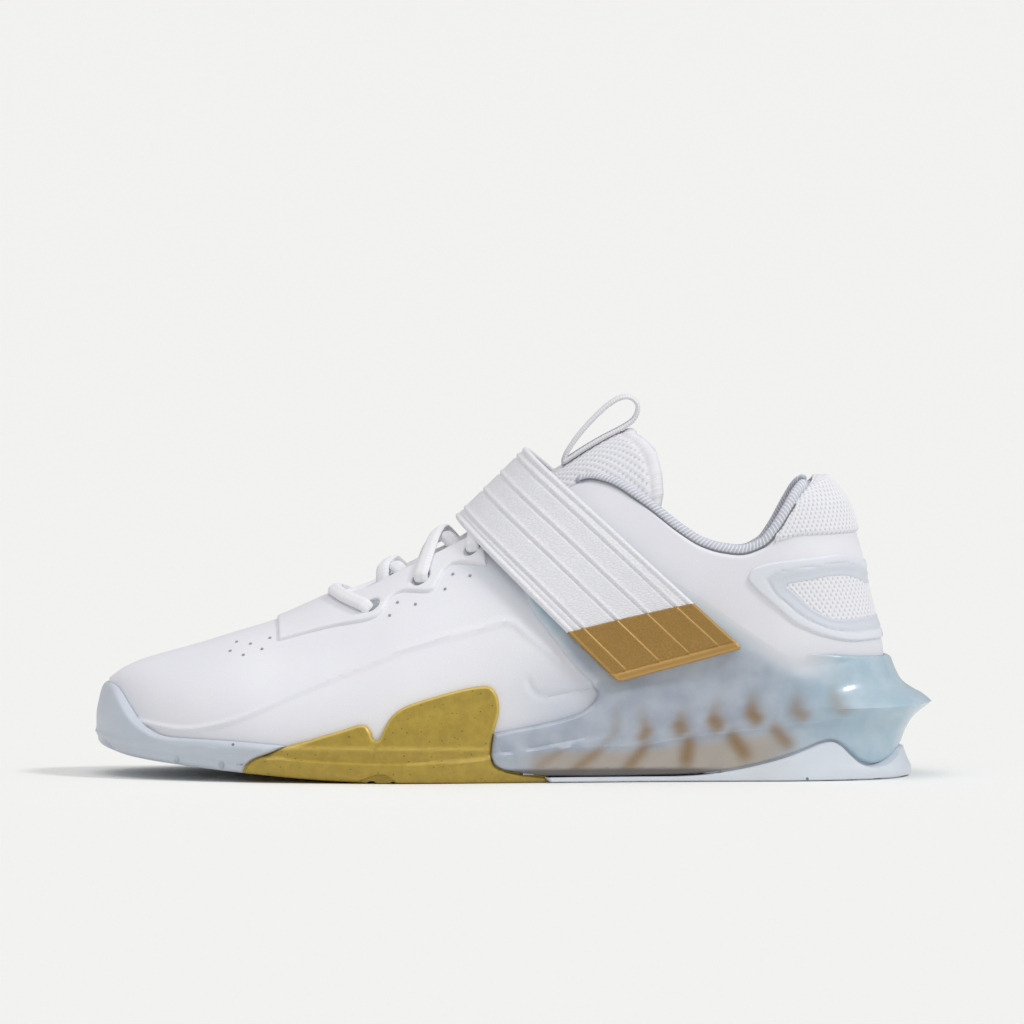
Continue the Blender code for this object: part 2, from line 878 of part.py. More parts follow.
def build_sole(finishes):
    low_x = along_to_x(-0.1)
    high_x = along_to_x(1.2)

    toe = add_mesh("toe_rubber", cup((0.0, 0.2, 0.5, 0.8), BUMPER_ROWS, toe_amount), PARTS, finishes["pale"])
    split = run(TOE_WRAP_LINE, SPLIT)
    tip_of_split = len(smooth_run(side_view(TOE_WRAP_LINE[:-1])))
    rim = run(TOE_RIM_LINE)
    toe_outline = split[:tip_of_split] + rim[1:]
    toe_outline += [Vector((low_x, rim[-1].y))]
    toe_outline += notched_floor(low_x, split[0].x, TOE_NOTCHES)[::-1]
    cut(toe, prism("toe_outline", toe_outline), "INTERSECT")

    wrap = add_mesh("side_wrap", cup((0.0, 0.3, 0.6, 0.8, 0.92), LOBE_ROWS, wrap_amount), PARTS, finishes["gold"])
    left = run(TOE_WRAP_LINE, -SPLIT)
    lobes = run(LOBE_LINE)
    right = run(WRAP_MIDSOLE_LINE, -SPLIT)
    bite = smooth_run([(along_to_x(a), level_z(a, u) if u > 0 else -UNDER) for a, u in BITE])
    wrap_outline = left + lobes[1:-1] + right
    wrap_outline += [Vector((right[-1].x, -UNDER))]
    wrap_outline += bite[::-1]
    cut(wrap, prism("wrap_outline", wrap_outline), "INTERSECT")

    below = (0.0, 0.25, 0.40, 0.56, 0.76, 0.88)
    midsole = add_mesh("heel_midsole", cup(below, WING_ROWS, midsole_amount, RIM_ROWS), PARTS, finishes["ice"])
    front = run(WRAP_MIDSOLE_LINE, SPLIT)
    wave = run(PLATE_LINE, SPLIT)
    window = run(WINDOW_LINE)
    wing_top = run(WING_TOP_LINE)
    midsole_outline = front + wave[1:] + wing_top[::-1] + window[::-1]
    cut(midsole, prism("midsole_outline", midsole_outline), "INTERSECT")

    plate = add_mesh("heel_plate", cup((0.0, 0.10, 0.25, 0.40, 0.60), (0.1,), plate_amount), PARTS, finishes["pale"])
    under_wave = run(PLATE_LINE, -SPLIT)
    start_x = right[-1].x + 2 * GAP
    plate_outline = [Vector((start_x, -UNDER)), Vector((start_x, under_wave[0].y))]
    plate_outline += [p for p in under_wave if p.x > start_x + GAP]
    plate_outline += [Vector((high_x, under_wave[-1].y)), Vector((high_x, -UNDER))]
    cut(plate, prism("plate_outline", plate_outline), "INTERSECT")


# Overlays on the upper

COUNTER_OUTLINE = (
    (0.820, 2.93),
    (0.824, 3.03),
    (0.834, 3.10),
    (0.862, 3.15),
    (0.914, 3.18),
    (0.940, 3.20),
    (0.960, 3.15),
    (0.985, 3.03),
    (1.060, 2.90),
)
COUNTER_LOWER = (
    (1.060, 1.92),
    (0.985, 1.91),
    (0.960, 1.91),
    (0.939, 1.95),
    (0.914, 2.04),
    (0.894, 2.15),
    (0.879, 2.25),
    (0.860, 2.45),
    (0.839, 2.67),
    (0.824, 2.85),
    (0.820, 2.93),
)
COUNTER_WINDOW = (
    (1.060, 2.60),
    (0.985, 2.70),
    (0.965, 2.81),
    (0.950, 2.87),
    (0.928, 2.88),
    (0.907, 2.85),
    (0.871, 2.80),
    (0.878, 2.71),
    (0.898, 2.49),
    (0.909, 2.39),
    (0.929, 2.27),
    (0.950, 2.24),
    (0.985, 2.26),
    (1.060, 2.30),
)
EYESTAY_OUTLINE = (
    (0.220, 3.20),
    (0.219, 2.60),
    (0.285, 2.86),
    (0.335, 3.00),
    (0.352, 3.12),
    (0.362, 3.29),
    (0.378, 3.40),
    (0.413, 3.39),
    (0.424, 3.52),
    (0.433, 3.68),
    (0.447, 3.76),
    (0.488, 3.70),
)
EYESTAY_REAR = ((0.490, 3.80), (0.480, 4.10), (0.470, 4.60))


def overlay(name, thickness, finish):
    """A closed skin over the upper, to be cut to an outline."""
    base = upper_rings()
    inner = offset_rings(base, lambda j, along, side: OVERLAY_CLEAR)
    outer = offset_rings(base, lambda j, along, side: OVERLAY_CLEAR + thickness)
    return add_mesh(name, shell_mesh(outer, inner), PARTS, finish)


def build_overlays(finishes):
    counter = overlay("heel_counter", COUNTER_THICKNESS, finishes["white"])
    outline = run(COUNTER_OUTLINE)[:-1] + run(COUNTER_LOWER)[:-1]
    cut(counter, prism("counter_outline", outline), "INTERSECT")
    window = run(COUNTER_WINDOW)
    cut(counter, prism("counter_window", window), "DIFFERENCE")

    eyestay = overlay("eyestay", EYESTAY_THICKNESS, finishes["white"])
    rear = [Vector(p) for p in side_view(EYESTAY_REAR)]
    top = Vector((along_to_x(EYESTAY_OUTLINE[0][0]), rear[-1].y))
    outline = run(EYESTAY_OUTLINE) + rear + [top]
    cut(eyestay, prism("eyestay_outline", outline), "INTERSECT")
    for i, (along, height) in enumerate(EYELETS):
        for side, word in ((LATERAL, "lateral"), (MEDIAL, "medial")):
            hole = punch(f"eyestay_hole_{word}_{i + 1}", along, height, side, EYELET_RADIUS)
            cut(eyestay, hole, "DIFFERENCE")


def edge_place(along, side):
    return form_point(along, t_at_height(along, edge_z(along, side), side), side)


def build_binding(side, name, finish):
    """The knitted edging along the collar, from the throat's top to the heel tab's top."""
    shares = [mix(0.600, 0.940, i / 21) for i in range(22)]
    points = []
    for along in shares:
        before, after = (edge_place(along + step, side) for step in (-0.004, 0.004))
        here, outward, up = surface_frame(along, t_at_height(along, edge_z(along, side), side), side)
        square = outward.cross(after - before).normalized()
        if square.dot(up) < 0:
            square.negate()
        lift = BINDING_RADIUS + BINDING_CLEAR
        inset = wall_thickness(1.0, along) / 2 - tab_step(1.0, along)
        points.append(here - outward * inset + square * lift)
    curve = bpy.data.curves.new(name, "CURVE")
    curve.dimensions = "3D"
    curve.bevel_depth = BINDING_RADIUS
    curve.bevel_resolution = 2
    curve.use_fill_caps = True
    spline = curve.splines.new("POLY")
    spline.points.add(len(points) - 1)
    for place, point in zip(spline.points, points):
        place.co = (*point, 1)
    obj = bpy.data.objects.new(name, curve)
    PARTS.objects.link(obj)
    curve.materials.append(finish)


# Tongue, insole, laces, pull loop and strap

TONGUE_ROWS = 5


def build_tongue(finish):
    """A padded sheet under the throat that rises past the strap, cut to its side outline."""
    shares = [mix(0.255, 0.74, i / 19) for i in range(20)]
    spans = [i / TONGUE_ROWS for i in range(TONGUE_ROWS + 1)]

    def skin(extra):
        grid = []
        for along in shares:
            row = []
            for side in (LATERAL, MEDIAL):
                low = t_at_height(along, ridge_z(along) - tongue_drop(along), side)
                line = []
                for span in spans:
                    here, outward, _ = surface_frame(along, mix(low, 0.999, span), side)
                    if span == 1:
                        outward.y = 0
                        outward.normalize()
                        here.y = RIDGE_SHIFT(along) * local_width(along)
                    line.append(here - outward * (tongue_depth(along, span) + extra))
                row += line if side == LATERAL else line[:-1][::-1]
            grid.append(row)
        return grid

    outer = skin(0.0)
    inner = skin(TONGUE_THICKNESS)
    tongue = add_mesh("tongue", slab_mesh(outer, inner), PARTS, finish)
    top = [(along_to_x(a), INSTEP_HEIGHT * up) for a, up in TONGUE_TOP]
    outline = smooth_run(top)
    outline += [Vector((outline[-1].x, 0.0)), Vector((along_to_x(0.2), 0.0)), Vector((along_to_x(0.2), 0.2))]
    outline += [Vector((outline[0].x, 0.2))]
    cut(tongue, prism("tongue_outline", outline), "INTERSECT")


def tongue_depth(along, span):
    """How far the tongue lies inside the form: deeper by the padded collar and its edging."""
    clear = mix(0.0011, 0.0006, smoothstep(0.50, 0.58, along)) + mix(0.0010, 0.0, smoothstep(0.27, 0.33, along))
    beside = mix(0.0, 0.0012, smoothstep(0.52, 0.60, along)) + COLLAR_PAD * smoothstep(0.60, 0.72, along)
    return UPPER_WALL + clear + beside * (1 - span)


def tongue_drop(along):
    """How far the tongue's side edges hang below its ridge."""
    return mix(0.006, 0.050, smoothstep(0.28, 0.70, along))


TONGUE_TOP = (
    (0.668, 1.06),
    (0.672, 0.990),
    (0.684, 0.975),
    (0.698, 0.94),
    (0.706, 0.88),
    (0.709, 0.82),
    (0.705, 0.76),
    (0.700, 0.60),
)


def slab_mesh(outer, inner):
    """Closes two like grids of points into one body."""
    bm = bmesh.new()
    a = [[bm.verts.new(p) for p in row] for row in outer]
    b = [[bm.verts.new(p) for p in row] for row in inner]
    rows, columns = len(a), len(a[0])
    for i in range(rows - 1):
        for j in range(columns - 1):
            bm.faces.new((a[i][j], a[i + 1][j], a[i + 1][j + 1], a[i][j + 1]))
            bm.faces.new((b[i][j], b[i][j + 1], b[i + 1][j + 1], b[i + 1][j]))
    for i in range(rows - 1):
        for j in (0, columns - 1):
            bm.faces.new((a[i][j], a[i + 1][j], b[i + 1][j], b[i][j]))
    for j in range(columns - 1):
        for i in (0, rows - 1):
            bm.faces.new((a[i][j], a[i][j + 1], b[i][j + 1], b[i][j]))
    return bm


def build_insole(finish):
    rows = [form_ring(0.0)]
    inset = UPPER_WALL + 2 * GAP
    centre = [Vector((p.x, centre_y(PLACES[k][0]), p.z)) for k, p in enumerate(rows[0])]
    ring = []
    for k, point in enumerate(rows[0]):
        around = rows[0][(k + 1) % LOOP] - rows[0][k - 1]
        outward = Vector((around.y, -around.x, 0)).normalized()
        if outward.dot(point - centre[k]) < 0 and 0 < PLACES[k][0] < 1:
            outward.negate()
        ring.append(point - outward * inset)
    ring[0] = rows[0][0] - Vector((inset, 0, 0))
    toe = LOOP // 2
    ring[toe] = rows[0][toe] + Vector((inset, 0, 0))
    top = [p + Vector((0, 0, INSOLE_THICKNESS)) for p in ring]
    return add_mesh("insole", ring_mesh([ring, top]), PARTS, finish)


def ridge_point(along, offset):
    """A place in the middle of the form's top, offset above it."""
    here = form_point(along, 1.0, LATERAL)
    ahead = form_point(along + 1e-3, 1.0, LATERAL) - form_point(along - 1e-3, 1.0, LATERAL)
    up = Vector((-ahead.z, 0, ahead.x)).normalized()
    return here + up * offset, up


def lace_path(start, end, hump, points=9):
    """From one eyelet over the ridge to another, hugging the form."""
    offset = OVERLAY_CLEAR + EYESTAY_THICKNESS + GAP + LACE_THICKNESS / 2
    path = []
    for i in range(points):
        u = i / (points - 1)
        cross = mix(-1.0, 1.0, u)
        side = LATERAL if cross < 0 else MEDIAL
        along = mix(start[0], end[0], u)
        low = mix(start[1], end[1], u)
        t = mix(1.0, low, abs(cross))
        if abs(cross) < 1e-6:
            here, outward = ridge_point(along, 0.0)
        else:
            here, outward, _ = surface_frame(along, min(t, 0.995), side)
        lift = offset + hump * (1 - cross * cross)
        path.append((here + outward * lift, outward))
    return path


def sweep(path, width, thickness, sides=6):
    """A flat oval swept along (point, outward) places, with closed ends."""
    bm = bmesh.new()
    rings = []
    for i, (point, outward) in enumerate(path):
        heading = path[min(i + 1, len(path) - 1)][0] - path[max(i - 1, 0)][0]
        heading.normalize()
        across = heading.cross(outward).normalized()
        normal = across.cross(heading).normalized()
        ring = []
        for k in range(sides):
            angle = 2 * math.pi * (k + 0.5) / sides
            spot = point + across * (width / 2 * math.cos(angle)) + normal * (thickness / 2 * math.sin(angle))
            ring.append(bm.verts.new(spot))
        rings.append(ring)
    for first, second in zip(rings, rings[1:]):
        for k in range(sides):
            n = (k + 1) % sides
            bm.faces.new((first[k], first[n], second[n], second[k]))
    bm.faces.new(rings[0])
    bm.faces.new(rings[-1][::-1])
    return bm


# Hump of a lace over the ridge, by its place in the lacing
BAR_FORWARD = 0.030
LACE_HUMPS = (0.0004, 0.0014)


def build_laces(finish):
    """A bar over the front and a crossing between each two pairs of eyelets, joined."""
    strands = []
    first = EYELETS[0]
    bar = []
    for i in range(11):
        cross = mix(-1.0, 1.0, i / 10)
        side = LATERAL if cross < 0 else MEDIAL
        along = first[0] - BAR_FORWARD * (1 - cross * cross)
        t = mix(0.995, first[1], abs(cross))
        offset = OVERLAY_CLEAR + EYESTAY_THICKNESS + GAP + LACE_THICKNESS / 2
        if abs(cross) < 1e-6:
            here, outward = ridge_point(along, 0.0)
        else:
            here, outward, _ = surface_frame(along, t, side)
        bar.append((here + outward * offset, outward))
    strands.append(bar)
    for near, far in zip(EYELETS, EYELETS[1:]):
        strands.append(lace_path(near, far, LACE_HUMPS[0]))
        strands.append(lace_path(far, near, LACE_HUMPS[1]))
    laces = add_mesh("laces", sweep(strands[0], LACE_WIDTH, LACE_THICKNESS), PARTS, finish)
    for i, strand in enumerate(strands[1:]):
        piece = add_mesh(f"lace_strand_{i + 1}", sweep(strand, LACE_WIDTH, LACE_THICKNESS), CUTTERS)
        hide_cutter(piece)
        cut(laces, piece, "UNION")
    return laces


# The pull loop's middle line in the side view: shares along, and shares of INSTEP_HEIGHT
LOOP_LINE = (
    (0.584, 0.886),
    (0.608, 0.921),
    (0.634, 0.955),
    (0.660, 0.985),
    (0.674, 1.006),
    (0.680, 1.032),
    (0.679, 1.056),
    (0.669, 1.072),
    (0.654, 1.066),
    (0.634, 1.034),
    (0.608, 0.974),
    (0.590, 0.918),
)


def build_pull_loop(finish):
    """Webbing folded into a loop on the tongue's front."""
    middle = smooth_run([(along_to_x(a), INSTEP_HEIGHT * up) for a, up in (*LOOP_LINE, LOOP_LINE[0])], 3)[:-1]
    count = len(middle)
    bm = bmesh.new()
    rings = []
    for i, point in enumerate(middle):
        heading = (middle[(i + 1) % count] - middle[i - 1]).normalized()
        normal = Vector((-heading.y, heading.x))
        ring = []
        for across, out in ((-1, -1), (1, -1), (1, 1), (-1, 1)):
            spot = point + normal * (out * LOOP_THICKNESS / 2)
            y = across * LOOP_WIDTH / 2 + RIDGE_SHIFT(0.62) * local_width(0.62)
            ring.append(bm.verts.new((spot.x, y, spot.y)))
        rings.append(ring)
    for i in range(count):
        first, second = rings[i], rings[(i + 1) % count]
        for k in range(4):
            n = (k + 1) % 4
            bm.faces.new((first[k], first[n], second[n], second[k]))
    return add_mesh("pull_loop", bm, PARTS, finish)


# Strap: crown places and end places of its front and back edge
STRAP_FRONT_CROWN = 0.4506
STRAP_BACK_CROWN = 0.543
STRAP_FRONT_END = (0.652, 1.72)
STRAP_BACK_END = (0.8135, 1.94)
TIP_START_FRONT = 0.686
TIP_START_BACK = 0.770
STRAP_COLUMNS = (0.0, 0.07, 0.26, 0.47, 0.68, 0.88, 1.0)
STRAP_CLEAR = 0.0024


def strap_line(across):
    """Crown and end of the strap's side-view line at a share from its front to its back edge."""
    crown_along = mix(STRAP_FRONT_CROWN, STRAP_BACK_CROWN, across)
    rise = mix(STRAP_RISE_FRONT, STRAP_RISE_BACK, across)
    crown = Vector((along_to_x(crown_along), ridge_z(crown_along) + rise - STRAP_THICKNESS))
    front = Vector((along_to_x(STRAP_FRONT_END[0]), level_z(*STRAP_FRONT_END)))
    back = Vector((along_to_x(STRAP_BACK_END[0]), level_z(*STRAP_BACK_END)))
    return crown, front.lerp(back, across)


def x_to_along(x):
    return x / UPPER_LENGTH + 0.52


def strap_point(across, share, side):
    """A place on the strap's under side. share is 0 at the crown and 1 at the strap's end."""
    crown, end = strap_line(across)
    place = crown.lerp(end, share)
    crown_along = x_to_along(crown.x)
    if share == 0:
        return Vector((place.x, RIDGE_SHIFT(crown_along) * local_width(crown_along), place.y))
    rise = crown.y - ridge_z(crown_along)
    lifted = rise * (1 - smoothstep(0, STRAP_ARCH, share * (end - crown).length))
    along = x_to_along(place.x) + back_lean(x_to_along(place.x), place.y) / UPPER_LENGTH
    here, outward, _ = surface_frame(along, t_at_height(along, place.y - lifted, side), side)
    return Vector((place.x, here.y + outward.y * STRAP_CLEAR, place.y))


def strap_shares(count):
    """Shares down the strap, close together at the crown where it bends."""
    return [(i / (count - 1)) ** 1.9 for i in range(count)]


def strap_grid(paths):
    """Points of the strap's under side, a row for each place along it."""
    return [[strap_point(*place) for place in row] for row in paths]


def grid_normals(grid):
    rows, columns = len(grid), len(grid[0])
    normals = []
    for i in range(rows):
        line = []
        for j in range(columns):
            down = grid[min(i + 1, rows - 1)][j] - grid[max(i - 1, 0)][j]
            across = grid[i][min(j + 1, columns - 1)] - grid[i][max(j - 1, 0)]
            line.append(down.cross(across).normalized())
        normals.append(line)
    return normals


def strap_slab(paths, thickness):
    under = strap_grid(paths)
    normals = grid_normals(under)
    middle = under[len(under) // 2][len(under[0]) // 2]
    flip = -1 if normals[len(under) // 2][len(under[0]) // 2].dot(middle - Vector((0, 0, 0.06))) < 0 else 1
    over = []
    for i, row in enumerate(under):
        line = []
        for j, point in enumerate(row):
            line.append(point + normals[i][j] * (flip * thickness))
        over.append(line)
    return slab_mesh(over, under)


def tip_start(across):
    return mix(TIP_START_FRONT, TIP_START_BACK, across)


def build_strap(finishes):
    """The strap runs from its inner end over the instep to where the gold tip begins."""
    rows = []
    for share in reversed(strap_shares(16)):
        rows.append([(across, share, MEDIAL) for across in STRAP_COLUMNS])
    for step in strap_shares(13)[1:]:
        rows.append([(across, step * tip_start(across), LATERAL) for across in STRAP_COLUMNS])
    add_mesh("strap", strap_slab(rows, STRAP_THICKNESS), PARTS, finishes["white"])

    tip = []
    for step in (0.0, 0.25, 0.5, 0.75, 1.0):
        line = []
        for across in STRAP_COLUMNS:
            crown, end = strap_line(across)
            start = tip_start(across) + GAP / (end - crown).length
            line.append((across, mix(start, 1.0, step), LATERAL))
        tip.append(line)
    add_mesh("strap_tip", strap_slab(tip, STRAP_THICKNESS + TIP_EXTRA), PARTS, finishes["bronze"])


def centre_on_origin():
    """Moves the shoe so that its bounding box stands centred over the origin."""
    bpy.context.view_layer.update()
    graph = bpy.context.evaluated_depsgraph_get()
    corners = []
    for obj in PARTS.objects:
        solid = obj.evaluated_get(graph)
        mesh = solid.to_mesh()
        corners += [obj.matrix_world @ v.co for v in mesh.vertices]
        solid.to_mesh_clear()
    low = [min(c[i] for c in corners) for i in range(3)]
    high = [max(c[i] for c in corners) for i in range(3)]
    shift = Vector((-(low[0] + high[0]) / 2, -(low[1] + high[1]) / 2, -low[2]))
    for obj in [*PARTS.objects, *CUTTERS.objects]:
        obj.location += shift
    return shift


def main():
    for obj in list(bpy.data.objects):
        bpy.data.objects.remove(obj)
    scene = bpy.context.scene.collection
    scene.children.link(PARTS)
    scene.children.link(CUTTERS)
    finishes = {
        "white": material("white synthetic leather", (0.88, 0.88, 0.90), 0.5),
        "pale": material("pale rubber", (0.66, 0.70, 0.76), 0.45),
        "gold": material("gold speckled rubber", (0.62, 0.45, 0.10), 0.4),
        "ice": material("frosted ice blue moulding", (0.55, 0.68, 0.76), 0.3, 0.8),
        "bronze": material("bronze moulded film", (0.52, 0.31, 0.08), 0.4),
        "mesh": material("white spacer mesh", (0.86, 0.86, 0.88), 0.8),
    }
    build_upper(finishes["white"])
    build_sole(finishes)
    build_overlays(finishes)
    build_binding(LATERAL, "collar_binding_lateral", finishes["mesh"])
    build_binding(MEDIAL, "collar_binding_medial", finishes["mesh"])
    build_tongue(finishes["mesh"])
    build_insole(finishes["mesh"])
    build_laces(finishes["white"])
    build_pull_loop(finishes["white"])
    build_strap(finishes)
    centre_on_origin()


main()
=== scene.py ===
"""Looks of a left weightlifting shoe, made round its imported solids.

It is laid out as a Blender add-on and run as a script. Metres, +Z up, the toe to -X and the outer side to -Y.
A place on the shoe is given as on its last: along from the toe tip to the heel back, and a height.
"""

import math

import bmesh
import bpy
import numpy as np
from bpy.props import FloatProperty, FloatVectorProperty, PointerProperty
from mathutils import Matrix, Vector, geometry


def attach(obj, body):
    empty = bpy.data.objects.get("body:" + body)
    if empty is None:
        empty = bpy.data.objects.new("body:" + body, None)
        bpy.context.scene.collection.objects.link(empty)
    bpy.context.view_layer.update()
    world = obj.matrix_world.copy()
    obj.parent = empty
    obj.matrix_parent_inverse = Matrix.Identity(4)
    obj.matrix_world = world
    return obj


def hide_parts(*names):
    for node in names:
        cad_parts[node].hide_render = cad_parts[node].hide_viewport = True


bl_info = {
    "name": "Weightlifting shoe",
    "version": (1, 0, 0),
    "blender": (4, 5, 0),
    "location": "View3D > Sidebar > Shoe",
    "description": "Finished surfaces of a left weightlifting shoe",
    "category": "Add Mesh",
}

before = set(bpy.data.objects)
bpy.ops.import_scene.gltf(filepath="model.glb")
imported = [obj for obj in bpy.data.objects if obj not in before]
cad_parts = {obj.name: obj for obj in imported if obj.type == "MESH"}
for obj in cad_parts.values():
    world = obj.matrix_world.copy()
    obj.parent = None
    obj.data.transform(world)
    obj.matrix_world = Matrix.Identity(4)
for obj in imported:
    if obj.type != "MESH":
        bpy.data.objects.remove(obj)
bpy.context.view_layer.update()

# The last, as the solids were drawn on it
UPPER_LENGTH = 0.2865
BALL_WIDTH = 0.099
HEEL_WIDTH = 0.070
TOE_SKEW = 0.008
INSTEP_HEIGHT = 0.130
HEEL_TAB_RISE = 0.0284
MEDIAL_COLLAR_DROP = 0.003
FOREFOOT_STACK = 0.008
HEEL_STACK = 0.028
TOE_SPRING = 0.010
BACK_LEAN = 0.022
SIDE_UNIT = 0.025
TO_BOX_CENTRE = np.array((0.000408, 0.002976, 0.0))

WIDTHS = (
    # along, lateral, medial
    (0.00, 0.384, 0.424), (0.04, 0.394, 0.424), (0.10, 0.414, 0.434), (0.20, 0.465, 0.449),
    (0.30, 0.505, 0.465), (0.38, 0.528, 0.468), (0.50, 0.491, 0.405), (0.60, 0.473, 0.385),
    (0.68, 0.480, 0.400), (0.76, 0.502, 0.448), (0.84, 0.514, 0.479), (0.92, 0.500, 0.471),
    (1.00, 0.486, 0.457),
)
STACK = (
    # along, lift, spring
    (0.00, 0.00, 1.00), (0.03, 0.00, 0.80), (0.107, 0.00, 0.53), (0.175, 0.00, 0.34),
    (0.287, 0.00, 0.09), (0.37, 0.02, 0.00), (0.50, 0.17, 0.00), (0.60, 0.40, 0.00), (0.68, 0.62, 0.00),
    (0.76, 0.80, 0.00), (0.84, 0.92, 0.00), (0.92, 0.98, 0.00), (1.00, 1.00, 0.00),
)
RIDGE = (
    # along, height
    (0.000, 0.272), (0.007, 0.284), (0.018, 0.301), (0.043, 0.326), (0.07, 0.344), (0.12, 0.375),
    (0.17, 0.409), (0.22, 0.443), (0.25, 0.471), (0.29, 0.512), (0.33, 0.556), (0.376, 0.612),
    (0.415, 0.656), (0.45, 0.700), (0.504, 0.780), (0.58, 0.896), (0.633, 0.968), (0.668, 1.005),
    (0.76, 1.090), (0.84, 1.154), (1.00, 1.154),
)
SECTION = (
    # along, lean, rise, flat, shift
    (0.00, 4.0, 0.52, 0.62, 0.00), (0.10, 6.0, 0.50, 0.60, 0.02), (0.30, 7.0, 0.42, 0.55, 0.07),
    (0.45, 5.0, 0.42, 0.52, 0.06), (0.60, 4.0, 0.40, 0.62, 0.03), (0.76, 3.0, 0.36, 0.82, 0.00),
    (1.00, 2.0, 0.36, 0.82, 0.00),
)
TOP_EDGE = (
    # along, height, tab
    (0.280, 0.495, 0.00), (0.306, 0.514, 0.00), (0.333, 0.534, 0.00), (0.376, 0.582, 0.00),
    (0.415, 0.624, 0.00), (0.461, 0.677, 0.00), (0.530, 0.758, 0.00), (0.581, 0.812, 0.00),
    (0.620, 0.846, 0.00), (0.640, 0.838, 0.00), (0.684, 0.784, 0.00), (0.735, 0.700, 0.00),
    (0.761, 0.666, 0.00), (0.787, 0.648, 0.00), (0.812, 0.642, 0.00), (0.850, 0.642, 0.10),
    (0.875, 0.642, 0.28), (0.890, 0.642, 0.41), (0.907, 0.642, 0.555), (0.928, 0.642, 0.70),
    (0.952, 0.642, 0.82), (0.975, 0.642, 0.91), (1.000, 0.642, 1.00),
)
BACK = (
    # height, lean
    (0.00, 0.00), (0.10, 0.03), (0.22, 0.05), (0.33, 0.14), (0.435, 0.24), (0.55, 0.345), (0.64, 0.40),
    (0.71, 0.475), (0.80, 0.58), (0.87, 0.68), (0.92, 0.81), (0.965, 0.95), (1.00, 1.17),
)


class Track:
    """A smooth curve through the rows of a table that never overshoots them."""

    def __init__(self, rows, column=1):
        self.x = np.array([row[0] for row in rows])
        self.y = np.array([row[column] for row in rows])
        steps = np.diff(self.x)
        rises = np.diff(self.y) / steps
        before, after = steps[:-1], steps[1:]
        left, right = rises[:-1], rises[1:]
        turns = left * right <= 0
        left = np.where(turns, 1.0, left)
        right = np.where(turns, 1.0, right)
        inner = 3 * (before + after) / ((2 * after + before) / left + (after + 2 * before) / right)
        self.slope = np.concatenate((rises[:1], np.where(turns, 0.0, inner), rises[-1:]))

    def __call__(self, x):
        x = np.clip(x, self.x[0], self.x[-1])
        i = np.clip(np.searchsorted(self.x, x, side="right") - 1, 0, len(self.x) - 2)
        h = self.x[i + 1] - self.x[i]
        u = (x - self.x[i]) / h
        start = (1 + 2 * u) * (1 - u) ** 2 * self.y[i] + u * (1 - u) ** 2 * h * self.slope[i]
        end = u * u * (3 - 2 * u) * self.y[i + 1] + u * u * (u - 1) * h * self.slope[i + 1]
        return start + end


HALF_LATERAL = Track(WIDTHS, 1)
HALF_MEDIAL = Track(WIDTHS, 2)
LIFT = Track(STACK, 1)
SPRING = Track(STACK, 2)
RIDGE_HEIGHT = Track(RIDGE)
SIDE_LEAN = Track(SECTION, 1)
SIDE_RISE = Track(SECTION, 2)
TOP_FLAT = Track(SECTION, 3)
RIDGE_SHIFT = Track(SECTION, 4)
EDGE_HEIGHT = Track(TOP_EDGE, 1)
TAB_SHARE = Track(TOP_EDGE, 2)
BACK_SHARE = Track(BACK)
LATERAL, MEDIAL = -1, 1
SIDES = (LATERAL, MEDIAL)
TOE_ROUND = 0.20
TOE_POWER = 2.3
HEEL_ROUND = 0.15
HEEL_POWER = 2.2
LEAN_START = 0.78
THROAT_START = 0.287
THROAT_NOSE = 0.030


def smoothstep(low, high, x):
    u = np.clip((x - low) / (high - low), 0.0, 1.0)
    return u * u * (3 - 2 * u)


def mix(a, b, u):
    return a + (b - a) * u


def round_off(u, power=2.0):
    """0 at u = 0 with an upright start, and 1 from u = 1 on, as a superellipse."""
    return (1 - (1 - np.clip(u, 0.0, 1.0)) ** power) ** (1 / power)


def bell(value, at, width):
    """A soft bump over a value: 1 where it is at its place, and fading to 0 within about two widths."""
    return np.exp(-((value - at) / width) ** 2)


def local_width(along):
    return mix(BALL_WIDTH, HEEL_WIDTH, smoothstep(0.45, 0.85, along))


def tip_round(along):
    return round_off(along / TOE_ROUND, TOE_POWER) * round_off((1 - along) / HEEL_ROUND, HEEL_POWER)


def bottom_z(along):
    return TOE_SPRING * SPRING(along)


def feather_z(along):
    """Where the upper meets the sole."""
    return bottom_z(along) + mix(FOREFOOT_STACK, HEEL_STACK, LIFT(along))


def ridge_z(along):
    return INSTEP_HEIGHT * RIDGE_HEIGHT(along)


def edge_z(along, side):
    """The upper's top edge: on the vamp it is the ridge itself."""
    plain = INSTEP_HEIGHT * EDGE_HEIGHT(along) + HEEL_TAB_RISE * TAB_SHARE(along)
    drop = smoothstep(0.60, 0.70, along) * (1 - smoothstep(0.82, 0.92, along))
    plain = plain - np.where(side > 0, MEDIAL_COLLAR_DROP * drop, 0.0)
    nose = round_off((along - THROAT_START) / THROAT_NOSE)
    ridge = ridge_z(along)
    return np.where(along <= THROAT_START, ridge, mix(ridge, np.minimum(plain, ridge), nose))


def level_z(along, up):
    """A height by the sole: 0 is its bottom, 1 the feather line, and each 1 above that is SIDE_UNIT."""
    along = np.clip(along, 0.0, 1.0)
    low = mix(bottom_z(along), feather_z(along), up)
    return np.where(up <= 1, low, feather_z(along) + (up - 1) * SIDE_UNIT)


